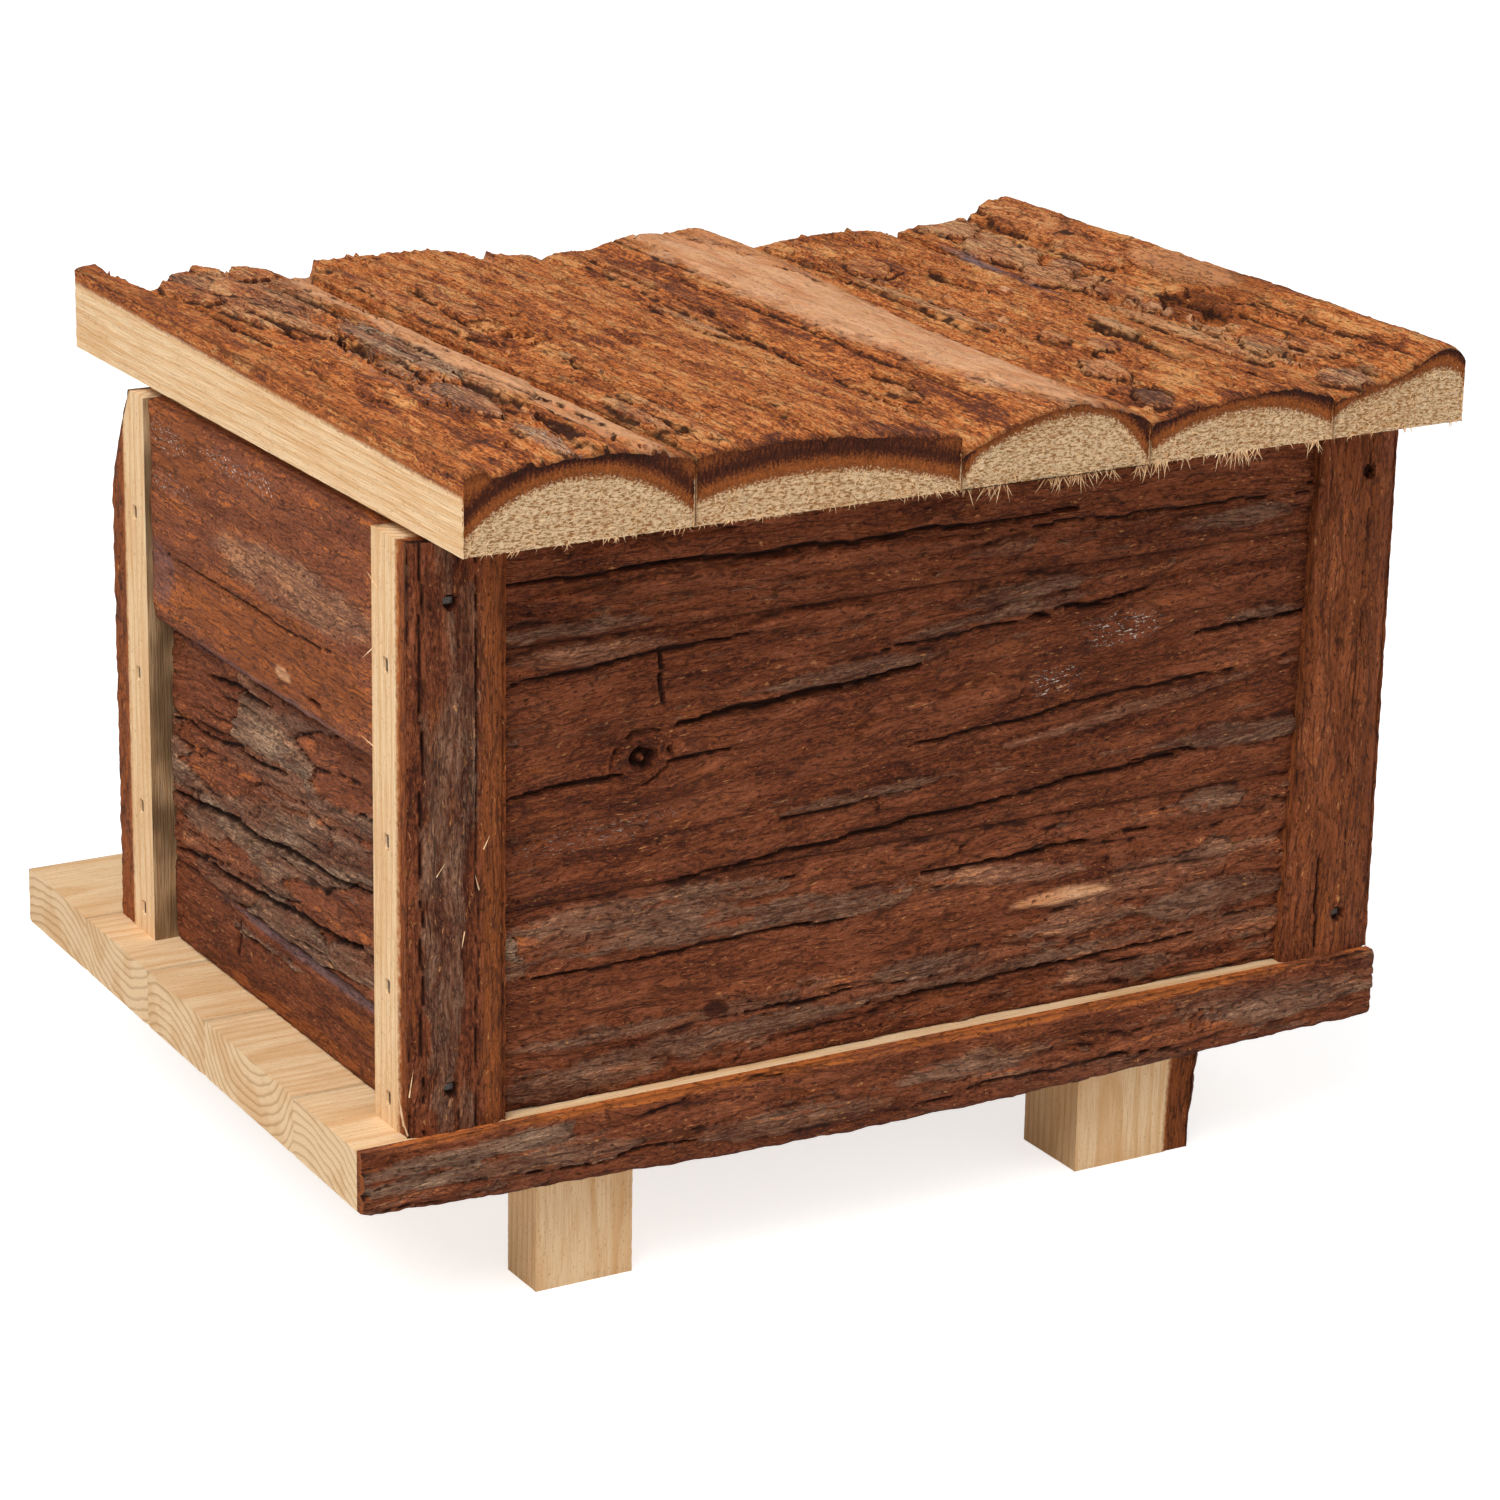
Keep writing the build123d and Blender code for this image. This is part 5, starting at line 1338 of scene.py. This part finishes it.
class BARKHOUSE_OT_posts(bpy.types.Operator):
    """Four corner posts, split logs with bark outside and sawn sides"""
    bl_idname = "barkhouse.posts"
    bl_label = "Corner posts"

    def execute(self, context):
        side_heads = brad_heads("post_side_brads", 0)
        face_heads = brad_heads("post_face_brads", 1)
        for name, look in POSTS.items():
            back = "back" in name
            post = Post(name, -X if back else X, Y if back else -Y, 1.6, size("bark_grid"))
            inner = 1 if name in ("post_back_right", "post_front_left") else 3
            post.cover(0, {0: size("post_bark"), inner: 10.0, 4 - inner: size("post_bark")}, **look)
            post.sawn()
            # The inner sawn face is darkened with the stain colour in patches: partly a real glue stain, partly painted
            # shade on this face.
            stain_and_shade = smooth(-0.5, 0.4, fractal(post.s / 20, post.x / 8, post.seed + 67, 3))
            post.shades["glue"] = np.where(post.side == 2, 0.45 + 0.5 * stain_and_shade, post.shades["glue"])
            post.dent(side_heads)
            post.dent(face_heads)
            if name == "post_front_right":
                post.lean = self.wane
            if name == "post_back_left":
                post.lean = self.leaning
            make_piece(name.replace("post", "post_bark"), [post.shell()], finish("dry_bark_wall"),
                       [name])
        return {"FINISHED"}

    @staticmethod
    def wane(points):
        """The bark swells towards its outer corner and runs off towards the top: no point lies further
        out than a curve that leaves the face 25 mm below the top and has drawn in 10 mm there."""
        outer = points[:, 1] / points[:, 1].max() * smooth(0.4, 0.9, points[:, 2] / points[:, 2].max())
        points[:, 2] += 4.4 * outer ** 2
        height, reach = points[:, 0].max(), points[:, 2].max()
        drawn = 10.0 * np.clip((points[:, 0] - height + 25.0) / 25.0, 0, 1) ** 1.3
        points[:, 2] = np.minimum(points[:, 2], reach - drawn + 0.15 * (points[:, 2] - reach))
        return points

    @staticmethod
    def leaning(points):
        """The post leans outwards: its points move across in step with their height, the inner edge most."""
        up = points[:, 0] / points[:, 0].max()
        width = points[:, 1].max()
        inner = 1 - points[:, 1] / width
        points[:, 1] += 1.25 * (1 - inner) + inner * (3.2 * up - 0.8 * (1 - smooth(0, 0.5, up)))
        points[:, 1] = np.minimum(points[:, 1], width + 1.25)
        return points


class BARKHOUSE_OT_feet(bpy.types.Operator):
    """Four feet, two sawn off-cuts and two with bark on one side"""
    bl_idname = "barkhouse.feet"
    bl_label = "Feet"

    def execute(self, context):
        for name in ("foot_back_right", "foot_back_left", "foot_front_right", "foot_front_left"):
            foot = Post(name, -X, Y, 0.0, 0.8)
            foot.pith = (0.35, -14.0) if "right" in name else (0.3, 34.0)
            if "left" in name:
                foot.cover(1, {0: 7.0, 1: 4.0, 2: 7.0}, worn=0.8, bare=0.8, grey=0.3, plate=(30, 5),
                           tone=0.36, marks=(("resin", 1, 15, 10, 20, 3),))
                foot.lean = self.rounded
            foot.sawn(0.1)
            make_piece(name.replace("foot", "foot_block"), [foot.shell()], finish("dry_bark_wall"),
                       [name])
        return {"FINISHED"}

    @staticmethod
    def rounded(points):
        """The bark side's corners are rounded off by a quarter circle, and it flares towards the top."""
        radius = 4.0
        up = points[:, 0] / points[:, 0].max()
        points[:, 1] += 3.0 * up ** 2 * smooth(0.5, 1.0, points[:, 1] / points[:, 1].max())
        width, depth = points[:, 1].max(), points[:, 2].max()
        over = np.clip(points[:, 1] - (width - radius), 0, radius)
        inset = radius - np.sqrt(radius ** 2 - over ** 2)
        points[:, 2] = np.clip(points[:, 2], inset, depth - inset)
        return points


FLOOR_PITHS = ((0.3, -30), (0.55, 26), (0.4, -18), (0.7, 34), (0.45, -40))


class BARKHOUSE_OT_floor(bpy.types.Operator):
    """Five sawn floor boards, and the bark left on the back edge of the first"""
    bl_idname = "barkhouse.floor"
    bl_label = "Floor"

    def execute(self, context):
        heads = brad_heads("floor_brads", 2, -1) + brad_heads("foot_brads", 2, 1)
        back_low, back_high = corners_of("floor_board_1")
        front = corners_of("floor_board_5")[0][1]
        skew = corners_of("floor_board_1")[1][0] - corners_of("floor_board_5")[1][0]
        top, bottom = back_high[2], corners_of("floor_board_2")[0][2]
        lip = node_points("floor_board_1")
        back = lip[lip[:, 2] < bottom - 0.5][:, 1].min()  # the bark's inner face
        for number in range(1, 6):
            name = f"floor_board_{number}"
            low, high = corners_of(name)
            if number == 1:
                high[1] = back
                low[2] = bottom
            board = Board(name, -X, Y, Z, size("sawn_grid"))
            board.start = np.array([back_high[0], low[1], bottom])
            board.length = board.reach = back_high[0] - low[0]
            board.width, board.depth = high[1] - low[1], top - bottom
            own = [board.place(head) for head, facing in heads]
            own = [p for p in own if 0 < p[1] < board.width and 0 < p[0] < board.length]
            board.grid(ticks(board.length, size("sawn_grid"), [p[0] for p in own]),
                       ticks(board.width, size("sawn_grid"), [p[1] for p in own]))
            board.two_sided = True
            board.pith = (FLOOR_PITHS[number - 1][0], FLOOR_PITHS[number - 1][1])
            edge = np.minimum(board.t, board.width - board.t)
            board.height -= 0.25 * np.exp(-edge / 0.5) + 0.03 * fractal(
                board.s / 30, board.t / 3, board.seed + 1, 3)
            # Painted shade along each plank's long edges, where it meets its neighbour.
            board.shades["hollow"] = 0.5 * np.exp(-edge / 0.4)
            board.bottom += 0.25 * np.exp(-edge / 0.5)
            board.dent(heads)

            def skewed(points, tags, values, board=board):
                """The right-hand end is sawn at a slant, and both ends are a little rough."""
                y = board.start[1] + points[:, 1]
                inset = skew * (back - y) / (back - front)
                share = points[:, 0] / board.length
                rough = 0.12 * fractal(points[:, 1] / 1.2, points[:, 2] / 1.2, board.seed + 3, 3)
                near, far = tags["near"], tags["far"]
                points[:, 0] += inset * (1 - share) + np.where(near, 0.15 + rough, 0)
                points[:, 0] -= np.where(far, 0.15 + rough, 0)
                return points

            board.shift = skewed
            board.shares = np.array([0.85, 0.6, 0.35, 0.12, 0.0])
            shells = [board.shell()]
            if number == 1:
                shells.append(self.edge_bark(back_low, back_high, back, bottom, top))
            make_piece(name.replace("board", "plank"), shells, finish("dry_bark_wall"), [name])
        return {"FINISHED"}

    @staticmethod
    def edge_bark(low, high, back, bottom, top):
        """The strip of bark on the back edge: its lower rim droops along a smooth wave, as the solid's."""
        strip = Board("floor_board_1", -X, Z, Y, size("bark_grid"))
        strip.start = np.array([high[0], back - 1.0, low[2]])
        strip.width, strip.depth = top + 0.5 - low[2], high[1] - back + 1.0
        strip.length = strip.reach = high[0] - low[0]
        s = ticks(strip.length, size("bark_grid"))
        q = ticks(strip.width, size("bark_grid")) / strip.width
        drop = bottom - low[2]
        droop = drop * np.interp(s / strip.length, (0, 1 / 6, 2 / 6, 3 / 6, 4 / 6, 5 / 6, 1),
                                 (0, 0.45, 0.85, 1, 0.9, 0.65, 0.5))
        rim = drop - droop + 0.5 * fractal(s / 7, s * 0, 91, 3) + 0.3
        rim = np.maximum(rim, 0.02)
        strip.s = np.repeat(s[:, None], len(q), 1)
        strip.t = rim[:, None] + q[None] * (strip.width - rim[:, None])
        strip.clear()
        strip.bark_depth = 9.0
        strip.cover(worn=0.7, bare=0.7, grey=0.6, plate=(60, 7), tone=0.48, furrow_share=0.5, furrow=0.9,
                    tier=0.4, crack=0.5, knots=((196, 9, 2.0),), marks=(
                        ("fresh", 0.6, 120, strip.width - 0.2, 140, 1.3), ("light", 0.5, 120, strip.width, 140, 1.4),
                        ("ash", 0.6, 45, 9, 22, 3, 0.02), ("ash", 0.6, 96, 6, 24, 2.6, -0.02),
                        ("ash", 0.5, 138, 10, 20, 2.4, 0.03), ("red", 0.7, 70, 11, 18, 2.4, 0.0),
                        ("ash", 0.6, 215, 9, 20, 3.4, 0.02), ("red", 0.6, 188, 7, 16, 2.6, 0.0),
                        ("furrow", 1.2, 60, 6, 26, 0.7), ("furrow", 1.2, 160, 5, 30, 0.7),
                        ("rough", 0.8, 163, 9, 9, 5)))
        strip.height = np.clip(strip.height, 1.2, strip.depth - 0.02)
        return strip.shell()


def fibres(starts, ways, lengths, widths, sag, seed):
    """Closed three-sided fibres, many at once: three rings of three points along a path that starts
    straight and sags by the square of the way along, thinning to a tenth at the tip."""
    count = len(starts)
    ways = ways / np.linalg.norm(ways, axis=1, keepdims=True)
    turn = np.random.default_rng(seed).normal(size=(count, 3))
    side = np.cross(ways, turn)
    side /= np.linalg.norm(side, axis=1, keepdims=True)
    other = np.cross(ways, side)
    along = np.array([0, 0.5, 1.0])[None, :, None, None]
    angle = np.arange(3) * 2 * math.pi / 3
    path = starts[:, None, None] + ways[:, None, None] * lengths[:, None, None, None] * along
    path = path + sag[:, None, None] * along ** 2
    wide = widths[:, None, None, None] * np.array([1, 0.75, 0.1])[None, :, None, None] / 2
    ring = (side[:, None, None] * np.cos(angle)[None, None, :, None]
            + other[:, None, None] * np.sin(angle)[None, None, :, None])
    points = path + wide * ring
    first = np.arange(count)[:, None] * 9
    quads = np.array([[r * 3 + k, r * 3 + (k + 1) % 3, r * 3 + 3 + (k + 1) % 3, r * 3 + 3 + k]
                      for r in (0, 1) for k in range(3)])
    quads = (first[:, None] + quads[None]).reshape(-1, 4)
    caps = [first + np.array([[2, 1, 0]]), first + np.array([[6, 7, 8]])]
    points = points.reshape(-1, 3)
    return dict(points=points, quads=quads, caps=caps, axes=np.eye(3), start=np.zeros(3), cap_end=0.0,
                values=dict(wood_place=points))


FUZZ = (  # a slab's share of the fibres for each millimetre, and the length of its longest fibre
    ("roof_slab_1", 0.8, 0.4), ("roof_slab_2", 0.6, 0.3), ("roof_slab_3", 1.8, 1.0),
    ("roof_slab_4", 1.3, 0.9), ("roof_slab_5", 0.5, 0.5))
SLIVERS = (  # stray slivers: root, direction with its length, and width
    ((111.5, 80.6, 46.0), (1.5, 0.6, 7.5), 0.5), ((110.8, 80.8, 44.0), (2.0, 0.8, 5.5), 0.4),
    ((110.5, 81.0, 52.0), (-0.5, 0.8, 6.0), 0.35), ((109.6, 66.5, 150.0), (1.4, -1.5, 3.0), 0.3),
    ((109.6, 65.0, 138.0), (1.5, -2.0, -2.5), 0.3), ((109.6, 65.0, 118.0), (1.8, -2.5, 2.0), 0.3),
    ((94.6, 81.0, 100.0), (-1.0, 0.8, 3.0), 0.3), ((95.6, 81.2, 92.0), (1.2, 0.6, 3.5), 0.3),
    ((104.6, 81.0, 96.0), (-1.6, 0.8, 3.0), 0.25), ((98.6, 81.0, 84.0), (1.0, 0.8, -3.0), 0.25))


class BARKHOUSE_OT_fibres(bpy.types.Operator):
    """Fibres that the saw left on the slabs' near ends, and stray slivers on the posts"""
    bl_idname = "barkhouse.fibres"
    bl_label = "Torn fibres"

    def execute(self, context):
        chance = np.random.default_rng(77)
        longest, total = size("torn_fibre"), context.scene.bark_house.sizes.torn_fibres
        weights = np.array([(corners_of(name)[1] - corners_of(name)[0])[0] * share
                            for name, share, reach in FUZZ])
        counts = np.round(total * weights / weights.sum()).astype(int)
        shells = []
        for (name, share, reach), count in zip(FUZZ, counts):
            low, high = corners_of(name)
            tufts = chance.uniform(low[0] + 1, high[0] - 1, max(3, count // 7))
            x = np.clip(chance.choice(tufts, count) + chance.normal(0, 0.9, count), low[0] + 0.5, high[0] - 0.5)
            starts = np.stack([x, high[1] - chance.uniform(0.9, 1.6, count), np.full(count, low[2] + 0.3)], -1)
            ways = np.stack([chance.normal(0, 0.6, count), chance.uniform(-0.1, 0.12, count),
                             -np.ones(count)], -1)
            lengths = longest * reach * chance.uniform(0.15, 1.0, count) ** 1.6
            sag = np.stack([chance.normal(0, 0.5, count), np.zeros(count), -0.1 * lengths], -1)
            shells.append(fibres(starts, ways, lengths, chance.uniform(0.16, 0.34, count), sag, 78))
            count = int(7 * (high[0] - low[0]))
            across, down, radius = WOOD_CROWNS[name]
            x = chance.uniform(low[0] + 0.5, high[0] - 0.5, count)
            arc = down + np.sqrt(np.maximum(radius ** 2 - (high[0] - x - across * (high[0] - low[0])) ** 2, 0))
            z = low[2] + np.maximum(arc, 1.0) * chance.uniform(0.02, 1.0, count)
            starts = np.stack([x, np.full(count, high[1] - 1.2), z], -1)
            ways = np.stack([chance.normal(0, 1.0, count), np.full(count, 0.32),
                             chance.normal(-0.5, 0.8, count)], -1)
            lengths = chance.uniform(0.6, 1.9, count)
            sag = np.stack([np.zeros(count), -0.25 * lengths, -0.3 * lengths], -1)
            shells.append(fibres(starts, ways, lengths, chance.uniform(0.14, 0.26, count), sag, 79))
        starts, ways, widths = (np.array(column, float) for column in zip(*SLIVERS))
        shells.append(fibres(starts, ways, np.linalg.norm(ways, axis=1), widths, ways * 0, 80))
        low, high = np.array(CAD_BOX) / MM
        for shell in shells:
            shell["points"] = np.clip(shell["points"], low + 0.05, high - 0.05)
        make_piece("torn_fibres", shells, finish("sawn_pine"), [])
        return {"FINISHED"}


class BARKHOUSE_OT_brads(bpy.types.Operator):
    """Dull steel on the frame's own brads"""
    bl_idname = "barkhouse.brads"
    bl_label = "Brads"

    def execute(self, context):
        for name in ("post_side_brads", "post_face_brads", "roof_brads", "floor_brads", "foot_brads"):
            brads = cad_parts[name]
            if not brads.data.materials:
                brads.data.materials.append(None)
            for slot in brads.material_slots:
                slot.material = finish("dull_brad_steel")
        return {"FINISHED"}


def seen_directly(tree):
    """1 for rays that the camera, a gloss or a glass sends out, and 0 for the rest."""
    path = add(tree, "LightPath").node.outputs
    seen = path["Is Camera Ray"]
    for name in ("Is Glossy Ray", "Is Transmission Ray"):
        seen = add(tree, "Math", (seen, path[name]), operation="MAXIMUM")
    return seen


class BARKHOUSE_OT_stage(bpy.types.Operator):
    """Pale floor, soft lights and the camera"""
    bl_idname = "barkhouse.stage"
    bl_label = "Stage"

    def execute(self, context):
        scene = context.scene
        scene.view_settings.view_transform = "Standard"
        self.ground()
        self.world(scene)
        self.lamp("key", (0.85, 0.56, 1.34), 1.0, 21.0)
        self.lamp("fill", (-0.9, 1.3, 0.6), 1.4, 6.0)
        self.camera(scene)
        return {"FINISHED"}

    @staticmethod
    def ground():
        """A flat disc under the feet, pale to the lamps and white to the camera where nothing shades it."""
        turns = np.linspace(0, 2 * math.pi, 97)[:-1]
        points = np.stack([3.0 * np.cos(turns), 3.0 * np.sin(turns), np.zeros_like(turns)], -1)
        mesh = bpy.data.meshes.new("studio_floor")
        mesh.from_pydata(points.tolist(), [], [list(range(len(points)))])
        floor = bpy.data.objects.new("studio_floor", mesh)
        bpy.context.scene.collection.objects.link(floor)
        material = bpy.data.materials.new("matt_white_paper")
        material.use_nodes = True
        tree = material.node_tree
        tree.nodes.clear()
        flecks = add(tree, "TexNoise", {"Scale": 40.0})
        paper = add(tree, "BsdfDiffuse", (add(tree, "MapRange", {0: flecks, 3: 0.70, 4: 0.72}),))
        strength = add(tree, "MapRange", {0: seen_directly(tree), 3: 0.0, 4: 0.7})
        glow = add(tree, "Emission", {"Color": (1, 1, 1, 1), "Strength": strength})
        add(tree, "OutputMaterial", (add(tree, "AddShader", (paper, glow)),))
        mesh.materials.append(material)

    @staticmethod
    def world(scene):
        """White to the camera, and an even soft light at under half of that on the object."""
        world = bpy.data.worlds.new("studio")
        world.use_nodes = True
        tree = world.node_tree
        tree.nodes.clear()
        strength = add(tree, "MapRange", {0: seen_directly(tree), 3: 0.42, 4: 1.0})
        add(tree, "OutputWorld", (add(tree, "Background", {"Color": (1, 1, 1, 1), "Strength": strength}),))
        scene.world = world

    @staticmethod
    def lamp(name, place, width, power):
        """A square lamp that looks at the middle of the house."""
        light = bpy.data.lights.new(name, "AREA")
        light.shape, light.size, light.energy = "SQUARE", width, power
        lamp = bpy.data.objects.new(name, light)
        bpy.context.scene.collection.objects.link(lamp)
        lamp.matrix_world = looking(np.array(place), np.array((0, 0, 0.09)), 0.0)

    @staticmethod
    def camera(scene):
        """The photograph's camera, as a place, the point it looks at, its roll and its lens."""
        data = bpy.data.cameras.new("camera")
        data.sensor_width, data.lens = 36.0, 113.288
        camera = bpy.data.objects.new("camera", data)
        scene.collection.objects.link(camera)
        camera.matrix_world = looking(np.array((0.47925, 0.8367, 0.4019)),
                                      np.array((-0.00702, 0.00729, 0.08275)), math.radians(-1.08))
        scene.camera = camera


def looking(place, aim, roll):
    """Matrix of a camera or lamp at a place that looks at an aim, rolled about its axis: its own Z is the
    direction back from the aim, its X is level, and the roll turns X and Y in their plane."""
    back = (place - aim) / np.linalg.norm(place - aim)
    level = np.cross(Z, back) / np.linalg.norm(np.cross(Z, back))
    up = np.cross(back, level)
    right = math.cos(roll) * level - math.sin(roll) * up
    up = math.sin(roll) * level + math.cos(roll) * up
    matrix = np.eye(4)
    matrix[:3, 0], matrix[:3, 1], matrix[:3, 2], matrix[:3, 3] = right, up, back, place
    return Matrix(matrix.tolist())


STEPS = ("stage", "floor", "feet", "posts", "long_walls", "side_walls", "roof", "fibres", "brads")


class BARKHOUSE_PT_panel(bpy.types.Panel):
    """Sidebar panel that lists the house's settings and steps"""
    bl_idname = "BARKHOUSE_PT_panel"
    bl_label = "Bark house"
    bl_space_type = "VIEW_3D"
    bl_region_type = "UI"
    bl_category = "Bark house"

    def draw(self, context):
        house = context.scene.bark_house
        for group in (house.sizes, house.colours):
            for name in group.bl_rna.properties.keys():
                if name not in ("rna_type", "name"):
                    self.layout.prop(group, name)
        for step in STEPS:
            self.layout.operator(f"barkhouse.{step}")


CLASSES = (HouseSizes, HouseColours, HouseSettings, BARKHOUSE_OT_stage, BARKHOUSE_OT_floor,
           BARKHOUSE_OT_feet, BARKHOUSE_OT_posts, BARKHOUSE_OT_long_walls, BARKHOUSE_OT_side_walls,
           BARKHOUSE_OT_roof, BARKHOUSE_OT_fibres, BARKHOUSE_OT_brads, BARKHOUSE_PT_panel)


def register():
    """Registers the classes and the scene's settings."""
    for cls in CLASSES:
        bpy.utils.register_class(cls)
    bpy.types.Scene.bark_house = PointerProperty(type=HouseSettings)


def unregister():
    """Takes them away again, last first."""
    del bpy.types.Scene.bark_house
    for cls in reversed(CLASSES):
        bpy.utils.unregister_class(cls)


def main():
    """Builds everything."""
    register()
    for step in STEPS:
        getattr(bpy.ops.barkhouse, step)()


if __name__ == "__main__":
    main()
